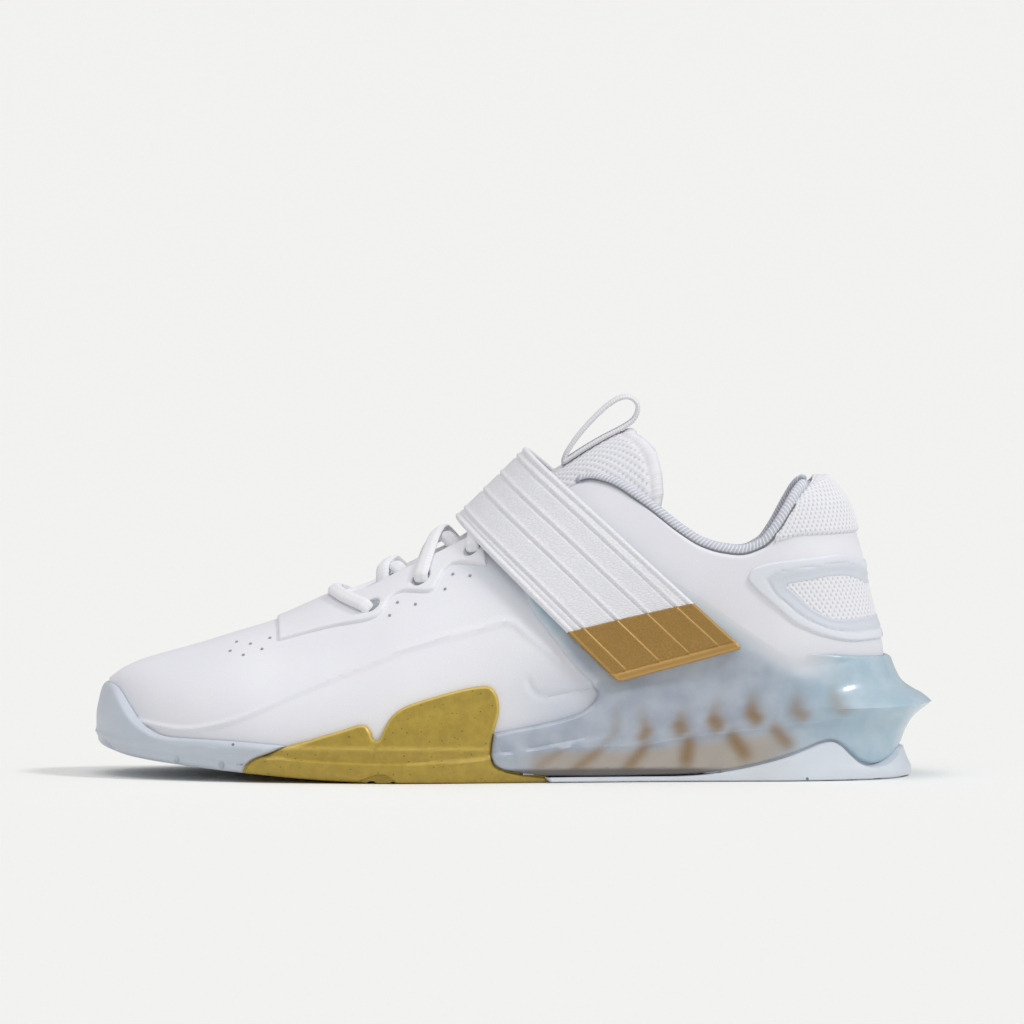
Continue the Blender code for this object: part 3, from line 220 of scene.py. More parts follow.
def section(along, t, side):
    """Height and sideways place on a section's curve, t from 0 at the feather line to 1 at the ridge."""
    width = local_width(along)
    half = width * np.where(side < 0, HALF_LATERAL(along), HALF_MEDIAL(along))
    low, high = feather_z(along), ridge_z(along)
    rise = SIDE_RISE(along) * (high - low)
    shift = RIDGE_SHIFT(along) * width
    across = (side * half, side * (half + rise * np.tan(np.radians(SIDE_LEAN(along)))),
              shift + side * TOP_FLAT(along) * half, shift)
    height = (low, low + rise, high, high)
    weights = ((1 - t) ** 3, 3 * (1 - t) ** 2 * t, 3 * (1 - t) * t * t, t**3)
    return sum(w * y for w, y in zip(weights, across)), sum(w * z for w, z in zip(weights, height))


def back_lean(along, z):
    low, high = feather_z(1.0), edge_z(1.0, LATERAL)
    return BACK_LEAN * BACK_SHARE((z - low) / (high - low)) * smoothstep(LEAN_START, 1.0, along)


def form(along, t, side):
    """Points on the form, which is the upper's outer side."""
    along, t, side = np.broadcast_arrays(np.asarray(along, float), t, side)
    y, z = section(along, t, side)
    x = (along - 0.52) * UPPER_LENGTH - back_lean(along, z)
    y = TOE_SKEW * np.maximum(0.0, 1 - along / 0.3) ** 2 + y * tip_round(along)
    return np.stack((x, y, z), -1) + TO_BOX_CENTRE


def t_at(along, z, side):
    low = np.zeros(np.broadcast(along, z, side).shape)
    high = np.ones_like(low)
    for _ in range(30):
        middle = (low + high) / 2
        below = section(along, middle, side)[1] < z
        low = np.where(below, middle, low)
        high = np.where(below, high, middle)
    return (low + high) / 2


def outward(along, t, side):
    """The form's outward direction at a place."""
    step = 1e-3
    ahead = form(along + step, t, side) - form(along - step, t, side)
    up = form(along, t + step, side) - form(along, t - step, side)
    return unit(np.cross(ahead, up) * -np.asarray(side, float)[..., None])


def lengths(vectors):
    return np.linalg.norm(vectors, axis=-1)


def unit(vectors):
    return vectors / np.maximum(lengths(vectors)[..., None], 1e-12)


def run_along(points):
    """Metres along a line of points, at each of them."""
    return np.concatenate(([0.0], np.cumsum(lengths(np.diff(points, axis=0)))))


# Maps round the form's side

def fine_shares():
    """Shares along the form, close together where the toe and the heel are round."""
    steps = np.linspace(0, 1, 160)
    toe = TOE_ROUND * (1 - (1 - steps**TOE_POWER) ** (1 / TOE_POWER))
    heel = 1 - HEEL_ROUND * (1 - (1 - steps**HEEL_POWER) ** (1 / HEEL_POWER))
    return np.unique(np.concatenate((toe, np.linspace(TOE_ROUND, 1 - HEEL_ROUND, 200), heel)))


SHARES = fine_shares()


def foot_run(side):
    return run_along(form(SHARES, 0.0, side)[:, :2])


FOOT_RUN = {LATERAL: foot_run(LATERAL), MEDIAL: foot_run(MEDIAL)}


def place(u, end):
    """Share along and side at u metres round the foot from the toe tip or the heel back, lateral below 0."""
    side = np.where(u < 0, LATERAL, MEDIAL)
    run = np.abs(u)
    found = []
    for which in SIDES:
        total = FOOT_RUN[which][-1]
        found.append(np.interp(run if end == "toe" else total - run, FOOT_RUN[which], SHARES))
    return np.where(u < 0, *found), side


def wall(u, v, end):
    """Places and outward directions on the form's side, v metres over the feather line."""
    u, v = np.broadcast_arrays(np.asarray(u, float), np.asarray(v, float))
    along, side = place(u, end)
    foot = feather_z(along)
    t = t_at(along, foot + np.maximum(v, 0.0), side)
    points = form(along, t, side)
    points[..., 2] = np.where(v < 0, foot + v, points[..., 2])
    step = 6e-4
    ahead = form(*_at(u + step, t, end)) - form(*_at(u - step, t, end))
    up = form(along, t + 0.006, side) - form(along, t - 0.006, side)
    normal = np.cross(up, ahead) if end == "toe" else np.cross(ahead, up)
    normal[..., 2] *= smoothstep(-0.004, 0.002, v)
    return points, unit(normal)


def _at(u, t, end):
    along, side = place(u, end)
    return along, t, side


def top_run(along, side):
    """Height of the upper's top edge over the feather line."""
    return edge_z(along, side) - feather_z(along)


def cup_height(along, v, side):
    """A height as the sole's profiles take it: 0 to 1 up to the feather line, then 1 and more."""
    stack = feather_z(along) - bottom_z(along)
    return np.where(v < 0, 1 + v / stack, 1 + v / top_run(along, side))


def smooth_run(points, spacing=0.0006):
    """A smooth curve through given points, as points that are evenly spaced."""
    points = np.asarray(points, float)
    padded = np.concatenate((points[:1], points, points[-1:]))
    p0, p1, p2, p3 = (padded[i:len(points) - 1 + i] for i in range(4))
    u = np.linspace(0, 1, 24, endpoint=False)[None, :, None]
    p0, p1, p2, p3 = (p[:, None, :] for p in (p0, p1, p2, p3))
    square, cube = 2 * p0 - 5 * p1 + 4 * p2 - p3, 3 * p1 - p0 - 3 * p2 + p3
    made = p1 + ((p2 - p0) * u + square * u**2 + cube * u**3) / 2
    return even_run(np.concatenate((made.reshape(-1, points.shape[1]), points[-1:])), spacing)


def even_run(points, spacing):
    run = run_along(points)
    count = max(2, int(round(run[-1] / spacing)) + 1)
    spots = np.linspace(0, run[-1], count)
    return np.stack([np.interp(spots, run, points[:, i]) for i in range(points.shape[1])], -1)


def side_view(rows):
    """Rows of (along, up) as places (x, z) of the side view."""
    rows = np.asarray(rows, float)
    x = (rows[:, 0] - 0.52) * UPPER_LENGTH + TO_BOX_CENTRE[0]
    return np.stack((x, level_z(rows[:, 0], rows[:, 1])), -1)


def shift_run(points, distance):
    """Moves a run sideways, to its left when distance is above 0."""
    heading = unit(np.gradient(points, axis=0))
    return points + np.stack((-heading[:, 1], heading[:, 0]), -1) * distance


def on_wall(view, side, end, amount):
    """Places (x, z) of the side view as (u, v) of a wall that stands amount out from the form.

    What lies past the toe tip or the heel back ends at u = 0."""
    x, z = view[:, 0], view[:, 1]
    near, far = np.zeros(len(x)), np.full(len(x), FOOT_RUN[side][-1])
    rising = 1 if end == "toe" else -1
    for _ in range(24):
        middle = (near + far) / 2
        along, _side = place(side * middle, end)
        v = z - feather_z(along)
        points, normal = wall(side * middle, v, end)
        reach = points[:, 0] + normal[:, 0] * amount(cup_height(along, v, side), along)
        short = (reach - x) * rising < 0
        near = np.where(short, middle, near)
        far = np.where(short, far, middle)
    u = (near + far) / 2
    along, _side = place(side * u, end)
    seen = np.flatnonzero(u >= 1e-5)
    first, last = max(seen[0] - 1, 0), min(seen[-1] + 1, len(u) - 1)
    u = np.where(u < 1e-5, 0.0, u)
    return np.stack((side * u, z - feather_z(along)), -1)[first:last + 1]


# Outlines filled with triangles

def loop_distance(points, loops):
    """Distance from each point to the nearest stretch of the outlines."""
    best = np.full(len(points), 1e9)
    for loop in loops:
        a, b = loop, np.roll(loop, -1, axis=0)
        run = b - a
        size = np.maximum((run**2).sum(1), 1e-18)
        for start in range(0, len(points), 4000):
            chunk = points[start:start + 4000, None, :] - a[None]
            share = np.clip((chunk * run).sum(-1) / size, 0, 1)
            gap = lengths(chunk - share[..., None] * run).min(1)
            best[start:start + 4000] = np.minimum(best[start:start + 4000], gap)
    return best


def within(points, loops):
    """Which points lie inside an odd number of the outlines."""
    odd = np.zeros(len(points), bool)
    for loop in loops:
        a, b = loop, np.roll(loop, -1, axis=0)
        for start in range(0, len(points), 4000):
            p = points[start:start + 4000]
            spans = (a[None, :, 1] > p[:, None, 1]) != (b[None, :, 1] > p[:, None, 1])
            rise = np.where(b[:, 1] == a[:, 1], 1e-12, b[:, 1] - a[:, 1])
            cross = a[:, 0] + (p[:, None, 1] - a[:, 1]) * (b[:, 0] - a[:, 0]) / rise
            odd[start:start + 4000] ^= (spans & (p[:, None, 0] < cross)).sum(1) % 2 == 1
    return odd


EDGE_ROWS = (0.0003, 0.0007, 0.0012, 0.0018, 0.0026)


def fill(loops, spacing=0.0013, rows=EDGE_ROWS):
    """Points and triangles over outlines, with rows of points close behind each edge where it is rounded."""
    low = np.min([loop.min(0) for loop in loops], axis=0)
    high = np.max([loop.max(0) for loop in loops], axis=0)
    across = np.arange(low[0], high[0], spacing)
    up = np.arange(low[1], high[1], spacing)
    grid = np.stack(np.meshgrid(across, up), -1).reshape(-1, 2)
    grid = grid[within(grid, loops)]
    grid = grid[loop_distance(grid, loops) > max(rows, default=0.0) + 0.4 * spacing]
    points = [*loops, grid]
    for depth in rows:
        for loop in loops:
            heading = unit(np.roll(loop, -1, axis=0) - np.roll(loop, 1, axis=0))
            square = np.stack((-heading[:, 1], heading[:, 0]), -1)
            step = max(1, int(depth / 0.0009))
            for turn in (1, -1):
                row = (loop + square * depth * turn)[::step]
                row = row[within(row, loops)]
                points.append(row[loop_distance(row, loops) > 0.93 * depth])
    edges = []
    start = 0
    for loop in loops:
        edges += [(start + i, start + (i + 1) % len(loop)) for i in range(len(loop))]
        start += len(loop)
    coords = [Vector(p) for p in np.concatenate(points)]
    made = geometry.delaunay_2d_cdt(coords, edges, [], 0, 1e-7)
    flat = np.array([tuple(p) for p in made[0]])
    faces = np.array(made[2])
    faces = faces[within(flat[faces].mean(1), loops)]
    a, b, c = flat[faces[:, 0]], flat[faces[:, 1]], flat[faces[:, 2]]
    area = (b[:, 0] - a[:, 0]) * (c[:, 1] - a[:, 1]) - (b[:, 1] - a[:, 1]) * (c[:, 0] - a[:, 0])
    return flat, faces[area > 1e-13], loop_distance(flat, loops)


# Meshes and pieces

def open_edges(faces):
    """The edges that only one face has, in that face's own direction."""
    seen = {}
    for face in faces:
        for a, b in zip(face, np.roll(face, -1)):
            key = (min(a, b), max(a, b))
            seen[key] = None if key in seen else (a, b)
    return [edge for edge in seen.values() if edge]


def closed(outer, inner, faces):
    """Two skins over the same faces, joined along every open edge. Where they meet they are one edge."""
    count = len(outer)
    rim = [(b, a, a + count, b + count) for a, b in open_edges(faces)]
    back = [tuple(int(i) + count for i in reversed(face)) for face in faces]
    front = [tuple(int(i) for i in face) for face in faces]
    return np.concatenate((outer, inner)), front + back + [tuple(int(i) for i in r) for r in rim]


def closed_sheet(outer, inner):
    """Two skins over a grid of places, joined along its edges."""
    return closed(outer.reshape(-1, 3), inner.reshape(-1, 3), grid_faces(*outer.shape[:2]))


def grid_faces(rows, columns, loop=False):
    """Quads of a grid, which may close round on itself along its rows."""
    last = rows if loop else rows - 1
    made = []
    for i in range(last):
        n = (i + 1) % rows
        for j in range(columns - 1):
            made.append((i * columns + j, n * columns + j, n * columns + j + 1, i * columns + j + 1))
    return made


def new_object(name, data):
    """A new object in the scene, at the origin."""
    obj = bpy.data.objects.new(name, data)
    bpy.context.scene.collection.objects.link(obj)
    return obj


def make_piece(name, parts, finishes, replaces=(), uv=None, values=None, sharp=38, merge=1e-6):
    """One mesh object from (points, faces, finish number) parts, closed and facing outwards."""
    mesh = bpy.data.meshes.new(name)
    points = np.concatenate([part[0] for part in parts])
    faces, numbers = [], []
    start = 0
    for part in parts:
        faces += [tuple(i + start for i in face) for face in part[1]]
        numbers += [part[2]] * len(part[1])
        start += len(part[0])
    mesh.from_pydata(points.tolist(), [], faces)
    mesh.polygons.foreach_set("material_index", numbers)
    for key, value in (values or {}).items():
        attribute = mesh.attributes.new(key, "FLOAT", "POINT")
        attribute.data.foreach_set("value", np.asarray(value, np.float32))
    if uv is not None:
        layer = mesh.uv_layers.new(name="UVMap")
        corners = np.zeros(len(mesh.loops), np.int32)
        mesh.loops.foreach_get("vertex_index", corners)
        layer.data.foreach_set("uv", np.asarray(uv, np.float32)[corners].ravel())
    bm = bmesh.new()
    bm.from_mesh(mesh)
    bmesh.ops.remove_doubles(bm, verts=bm.verts, dist=merge)
    bmesh.ops.dissolve_degenerate(bm, dist=1e-7, edges=bm.edges)
    bmesh.ops.recalc_face_normals(bm, faces=bm.faces)
    bm.to_mesh(mesh)
    bm.free()
    mesh.shade_smooth()
    mesh.set_sharp_from_angle(angle=math.radians(sharp))
    for finish in finishes:
        mesh.materials.append(finish)
    return settle(new_object(name, mesh), replaces)


def settle(obj, replaces=()):
    """Puts a finished piece on the shoe's one body."""
    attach(obj, "root")
    if replaces:
        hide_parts(*replaces)
    return obj


# Finishes

def linear(text):
    """An sRGB hex colour as linear red, green and blue."""
    values = [int(text[i:i + 2], 16) / 255 for i in (1, 3, 5)]
    return tuple(v / 12.92 if v <= 0.04045 else ((v + 0.055) / 1.055) ** 2.4 for v in values)


def scaled(colour, factor, blue=None, plus=0.0):
    """A colour with its channels multiplied, the blue one by its own factor where one is given."""
    return tuple(c * f + plus for c, f in zip(colour, (factor, factor, blue or factor)))


def add(tree, kind, links=None, **settings):
    """Adds a node with its settings, its links and its values. A kind without Node in it is a shader node."""
    node = tree.nodes.new(kind if "Node" in kind else "ShaderNode" + kind)
    for key, value in settings.items():
        setattr(node, key, value)
    for key, value in (links or {}).items():
        socket = node.inputs[key]
        if isinstance(value, bpy.types.NodeSocket):
            tree.links.new(value, socket)
        else:
            socket.default_value = (*value, 1.0) if socket.type == "RGBA" else value
    return node


def new_finish(name, colour, roughness, **sockets):
    """A principled material, its tree and its shader."""
    made = bpy.data.materials.new(name)
    made.use_nodes = True
    tree = made.node_tree
    shader = tree.nodes["Principled BSDF"]
    shader.inputs["Base Color"].default_value = (*colour, 1.0)
    shader.inputs["Roughness"].default_value = roughness
    for key, value in sockets.items():
        shader.inputs[key.replace("_", " ").title().replace("Ior", "IOR")].default_value = value
    return made, tree, shader


def uneven(tree, size, detail=2.0, roughness=0.5):
    """A cloudy pattern in the piece's own space, its largest features about size metres across."""
    where = add(tree, "TexCoord").outputs["Object"]
    links = {"Vector": where, "Scale": 1 / size, "Detail": detail, "Roughness": roughness}
    return add(tree, "TexNoise", links).outputs["Fac"]


def blended(tree, value, first, second, span=None, ends=(0.0, 1.0)):
    """One colour turning to another by a value. A span of the value is first eased and mapped to ends."""
    if span:
        links = {"Value": value, "From Min": span[0], "From Max": span[1],
                 "To Min": ends[0], "To Max": ends[1]}
        value = add(tree, "MapRange", links, interpolation_type="SMOOTHSTEP").outputs["Result"]
    return add(tree, "Mix", {0: value, 6: first, 7: second}, data_type="RGBA").outputs[2]


def dress(tree, shader, shade, height, distance, strength):
    """Gives a shader its colour and its fine relief."""
    relief = add(tree, "Bump", {"Height": height, "Distance": distance, "Strength": strength})
    tree.links.new(relief.outputs["Normal"], shader.inputs["Normal"])
    tree.links.new(shade, shader.inputs["Base Color"])


# Sizes that the solids share

GAP = 0.0003
OVERLAY_CLEAR = 0.0003
UPPER_WALL = 0.0020
COLLAR_PAD = 0.0030
TAB_STEP = 0.0012
TAB_LINE = 0.74
WING_THICKNESS = 0.0013
EYESTAY_THICKNESS = 0.0009
COUNTER_THICKNESS = 0.0010
INSOLE_THICKNESS = 0.0040
TONGUE_THICKNESS = 0.0045
STRAP_THICKNESS = 0.0026
TIP_EXTRA = 0.0006
BINDING_RADIUS = 0.0017
LACE_THICKNESS = 0.0027
LOOP_WIDTH = 0.011
LOOP_THICKNESS = 0.0013
TOE_BUMPER = 0.0045
WRAP_SIDE = 0.0028
MIDSOLE_SIDE = 0.0045
HEEL_SPUR = 0.0165
PLATE_SIDE = 0.0048
EYELETS = ((0.338, 0.672), (0.402, 0.698), (0.469, 0.718))

# The sole's sides: height as cup_height gives it, and shares of the piece's side size

TOE_SIDE = Track((
    (0.0, 0.10), (0.15, 0.45), (0.40, 0.80), (0.80, 1.0), (1.20, 1.0), (1.60, 0.75), (1.95, 0.35),
))
WRAP_SHARE = Track((
    (0.0, 0.75), (0.30, 1.15), (0.60, 1.35), (0.80, 1.45), (0.92, 1.0), (1.10, 0.80), (1.5, 0.62),
))
MIDSOLE_PROFILE = (
    # height, side, spur
    (0.00, 0.95, 0.26), (0.25, 0.90, 0.28), (0.40, 0.88, 0.30), (0.56, 0.92, 0.38), (0.76, 1.08, 0.56),
    (0.88, 1.18, 0.78), (0.98, 1.10, 1.00), (1.04, 0.96, 0.58), (1.08, 0.84, 0.36), (1.125, 0.74, 0.25),
    (1.18, 0.62, 0.15), (1.21, 0.42, 0.09), (1.30, 0.36, 0.09),
)
MIDSOLE_SHARE = Track(MIDSOLE_PROFILE, 1)
SPUR_SHARE = Track(MIDSOLE_PROFILE, 2)
PLATE_PROFILE = (
    # height, side, back
    (0.00, 1.06, 1.78), (0.10, 1.08, 1.88), (0.25, 1.02, 1.52), (0.40, 0.98, 1.25), (0.60, 0.96, 1.18),
    (1.00, 0.96, 1.18),
)
PLATE_SHARE = Track(PLATE_PROFILE, 1)
PLATE_BACK = Track(PLATE_PROFILE, 2)


def toe_amount(height, along):
    return GAP + TOE_BUMPER * TOE_SIDE(height) * mix(1.0, 0.72, smoothstep(0.02, 0.12, along))


def wrap_amount(height, along):
    return GAP + WRAP_SIDE * WRAP_SHARE(height)


def midsole_amount(height, along):
    wing = GAP + WING_THICKNESS
    side = GAP + MIDSOLE_SIDE * MIDSOLE_SHARE(height)
    spur = GAP + HEEL_SPUR * SPUR_SHARE(height)
    flank = mix(side, wing, smoothstep(1.18, 1.35, height))
    front = np.where(height > 1, mix(wing, side, 0.75), side)
    flank = mix(front, flank, smoothstep(0.5, 0.8, along))
    flank = mix(flank, wing, smoothstep(1.05, 1.30, height))
    return mix(flank, np.maximum(spur, wing), smoothstep(0.86, 1.0, along) ** 1.5)


def plate_amount(height, along):
    return GAP + PLATE_SIDE * mix(PLATE_SHARE(height), PLATE_BACK(height), smoothstep(0.88, 1.0, along))


# Lines of the side view, as rows of (along, up) with up as in level_z

TOE_WRAP_LINE = (
    (0.176, -0.60), (0.176, 0.10), (0.179, 0.42), (0.190, 0.74), (0.204, 0.98), (0.229, 1.14),
    (0.262, 1.27),
)
TOE_RIM_LINE = (
    (0.229, 1.14), (0.171, 1.13), (0.120, 1.10), (0.069, 1.06), (0.046, 1.12), (0.030, 1.22),
    (0.018, 1.38), (0.009, 1.53), (0.003, 1.60), (-0.006, 1.625), (-0.040, 1.625),
)
LOBE_LINE = (
    (0.262, 1.27), (0.300, 1.42), (0.322, 1.51), (0.332, 1.50), (0.338, 1.41), (0.341, 1.31),
    (0.348, 1.31), (0.356, 1.50), (0.366, 1.66), (0.383, 1.78), (0.415, 1.88), (0.453, 1.96),
    (0.479, 1.98), (0.492, 1.95), (0.500, 1.82), (0.503, 1.62), (0.500, 1.44), (0.4955, 1.28),
)
WRAP_MIDSOLE_LINE = (
    (0.4955, 1.28), (0.493, 1.02), (0.4955, 0.65), (0.5045, 0.46), (0.524, 0.30), (0.5625, 0.16),
)
PLATE_LINE = (
    (0.5625, 0.16), (0.630, 0.11), (0.697, 0.10), (0.761, 0.115), (0.812, 0.19), (0.863, 0.315),
    (0.893, 0.42), (0.915, 0.51), (0.930, 0.53), (0.942, 0.47), (0.955, 0.34), (0.968, 0.23),
    (0.985, 0.185), (1.002, 0.23), (1.014, 0.33), (1.020, 0.41), (1.060, 0.41),
)
WINDOW_LINE = (
    (0.4955, 1.28), (0.556, 1.30), (0.600, 1.34), (0.621, 1.44), (0.629, 1.58), (0.622, 1.75),
    (0.600, 2.04), (0.567, 2.58), (0.545, 2.95), (0.535, 3.20), (0.528, 3.55), (0.518, 4.02),
)
WING_TOP_LINE = (
    (0.640, 4.20), (0.684, 3.70), (0.710, 3.35), (0.761, 2.92), (0.812, 2.45), (0.863, 2.03),
    (0.8955, 1.82), (0.930, 1.74), (1.000, 1.66), (1.060, 1.66),
)
MIDSOLE_RIDGE = Track((
    # along, height over the sole's bottom as a share of the stack
    (0.49, 1.08), (0.56, 0.91), (0.62, 0.78), (0.685, 0.67), (0.739, 0.69), (0.798, 0.73),
    (0.857, 0.76), (0.92, 0.815), (0.974, 0.89), (1.00, 0.97),
))
BITE = ((0.322, 0.00), (0.340, 0.30), (0.354, 0.38), (0.366, 0.14), (0.371, -0.02))
COUNTER_OUTLINE = (
    (0.820, 2.93), (0.824, 3.03), (0.834, 3.10), (0.862, 3.15), (0.914, 3.18), (0.940, 3.20),
    (0.960, 3.15), (0.985, 3.03), (1.060, 2.90),
)
COUNTER_LOWER = (
    (1.060, 1.92), (0.985, 1.91), (0.960, 1.91), (0.939, 1.95), (0.914, 2.04), (0.894, 2.15),
    (0.879, 2.25), (0.860, 2.45), (0.839, 2.67), (0.824, 2.85), (0.820, 2.93),
)
COUNTER_WINDOW = (
    (1.060, 2.60), (0.985, 2.70), (0.965, 2.81), (0.950, 2.87), (0.928, 2.88), (0.907, 2.85),
    (0.871, 2.80), (0.878, 2.71), (0.898, 2.49), (0.909, 2.39), (0.929, 2.27), (0.950, 2.24),
    (0.985, 2.26), (1.060, 2.30),
)
EYESTAY_OUTLINE = (
    (0.219, 2.60), (0.285, 2.86), (0.335, 3.00), (0.352, 3.12), (0.362, 3.29), (0.378, 3.40),
    (0.413, 3.39), (0.424, 3.52), (0.433, 3.68), (0.447, 3.76), (0.470, 3.73), (0.486, 3.70),
)
QUARTER_LINE = (
    (0.040, 1.22), (0.085, 1.20), (0.122, 1.27), (0.170, 1.47), (0.247, 1.93), (0.324, 2.33),
    (0.375, 2.57), (0.426, 2.72), (0.478, 2.82), (0.503, 2.88), (0.522, 2.83), (0.534, 2.69),
    (0.580, 2.19),
)
QUARTER_GROOVE = ((0.539, 1.98), (0.547, 1.79), (0.565, 1.69), (0.599, 1.68), (0.631, 1.71))
PERFORATIONS = (
    (0.443, 3.62), (0.465, 3.58), (0.433, 3.42), (0.372, 3.26), (0.395, 3.23), (0.362, 3.08),
    (0.157, 2.39), (0.174, 2.36), (0.183, 2.52), (0.198, 2.47), (0.208, 2.63), (0.165, 2.52),
)


def wall_piece(loops, end, amount, radius, clear=GAP, edge=0.45, spacing=0.0013, relief=None, sink=None):
    """A wall over outlines of a side map. Its edges are rounded and its inner side lies clear of the form."""
    flat, faces, depth = fill(loops, spacing)
    u, v = flat[:, 0], flat[:, 1]
    along, side = place(u, end)
    base, normal = wall(u, v, end)
    height = cup_height(along, v, side)
    full = amount(height, along) - clear
    size = radius(v) if callable(radius) else radius
    thin = edge(along, v) if callable(edge) else edge
    swell = mix(thin, 1.0, round_off(depth / size))
    out = clear + full * swell
    if relief is not None:
        out = out + relief(along, v, height, depth) * smoothstep(0, 0.001, depth)
    if sink is not None:
        out = out - sink(along, v)
    outer = base + normal * out[:, None]
    inner = base + normal * np.minimum(clear, out - 0.0002)[:, None]
    points, made = closed(outer, inner, faces)
    return points, made, {"along": along, "height": height, "depth": depth, "flat": flat}


def both(values):
    """A value for each point of both skins."""
    return np.concatenate((values, values))


def bottom_line(start, stop, side, end):
    """(u, v) along the sole's bottom edge from one share along to another."""
    shares = SHARES[(SHARES > min(start, stop)) & (SHARES < max(start, stop))]
    shares = np.concatenate(([min(start, stop)], shares, [max(start, stop)]))
    if start > stop:
        shares = shares[::-1]
    run = np.interp(shares, SHARES, FOOT_RUN[side])
    if end == "heel":
        run = FOOT_RUN[side][-1] - run
    return np.stack((side * run, bottom_z(shares) - feather_z(shares)), -1)


def above_bottom(view):
    """The part of a side-view line that lies above the sole's bottom edge."""
    return view[view[:, 1] > bottom_z(view[:, 0] / UPPER_LENGTH + 0.52) + 0.0002]


def mirrored(lines, end, amount):
    """The same side-view line on the lateral and on the inner side of a wall."""
    return [on_wall(lines, side, end, amount) for side in SIDES]


def join_loop(*runs):
    points = np.concatenate(runs)
    gap = lengths(points - np.roll(points, 1, axis=0))
    return even_run(np.concatenate((points[gap > 1e-6], points[:1])), 0.0007)[:-1]


def sole_slab(start, stop, amount, clear=0.0010, across=17, lift=0.0002, rise=None):
    """The underside of a sole piece, with shallow grooves across its tread."""
    shares = np.linspace(start, stop, max(8, int((stop - start) * UPPER_LENGTH / 0.0012)))
    if start <= 0:
        shares = np.unique(np.concatenate((shares, SHARES[SHARES < 0.05])))
    if stop >= 1:
        shares = np.unique(np.concatenate((shares, SHARES[SHARES > 0.96])))
    sides = []
    for side in SIDES:
        run = np.interp(shares, SHARES, FOOT_RUN[side])
        points, normal = wall(side * np.maximum(run, 1e-9), -0.004, "toe")
        flat = normal * np.array((1, 1, 0))
        sides.append(points + unit(flat) * (amount(np.full(len(shares), 0.1), shares) - clear)[:, None])
    share = np.linspace(0, 1, across)[None, :, None]
    grid = mix(sides[0][:, None, :], sides[1][:, None, :], share)
    groove = 0.0007 * smoothstep(0.55, 0.85, np.cos(shares * UPPER_LENGTH / 0.0075 * 2 * math.pi))
    grid[..., 2] = (bottom_z(shares) + lift + groove)[:, None]
    top = grid.copy()
    high = mix(bottom_z(shares), feather_z(shares), 0.9) if rise is None else bottom_z(shares) + rise
    top[..., 2] = high[:, None]
    return closed_sheet(grid, top)


# Sole

def rubber_radius(v):
    return mix(0.0009, 0.0021, smoothstep(-0.002, 0.003, v))


LUG_NOTCHES = (0.012, 0.093, 0.150)


def build_toe_rubber(sizes, colours):
    split = shift_run(smooth_run(side_view(TOE_WRAP_LINE[:-1])), GAP / 2)
    rim = smooth_run(side_view(TOE_RIM_LINE))
    lateral, medial = mirrored(np.concatenate((above_bottom(split), rim[1:])), "toe", toe_amount)
    loop = join_loop(lateral, medial[::-1], bottom_line(0.176, 0.0, MEDIAL, "toe"),
                     bottom_line(0.0, 0.176, LATERAL, "toe"))

    def lines(along, v, height, depth):
        rim_line = bell(v, 0.0035 * smoothstep(0.03, 0.2, along) - 0.0022, 0.0008)
        lug = bell(height, 0.43, 0.05) * smoothstep(0.015, 0.03, along)
        notch = sum(bell(along, at, 0.0022) for at in LUG_NOTCHES)
        foot = 1 - smoothstep(0.30, 0.42, height)
        return 0.0005 * rim_line - 0.0010 * lug - 0.0024 * notch * foot + 0.0006 * foot

    points, faces, _facts = wall_piece([loop], "toe", toe_amount, rubber_radius, relief=lines, spacing=0.0010)
    rubber = pale_rubber(colours.pale_rubber, "pale moulded toe rubber")
    return make_piece("toe_bumper", [(points, faces, 0), (*sole_slab(0.0, 0.176, toe_amount), 0)], [rubber],
                      ["toe_rubber"])


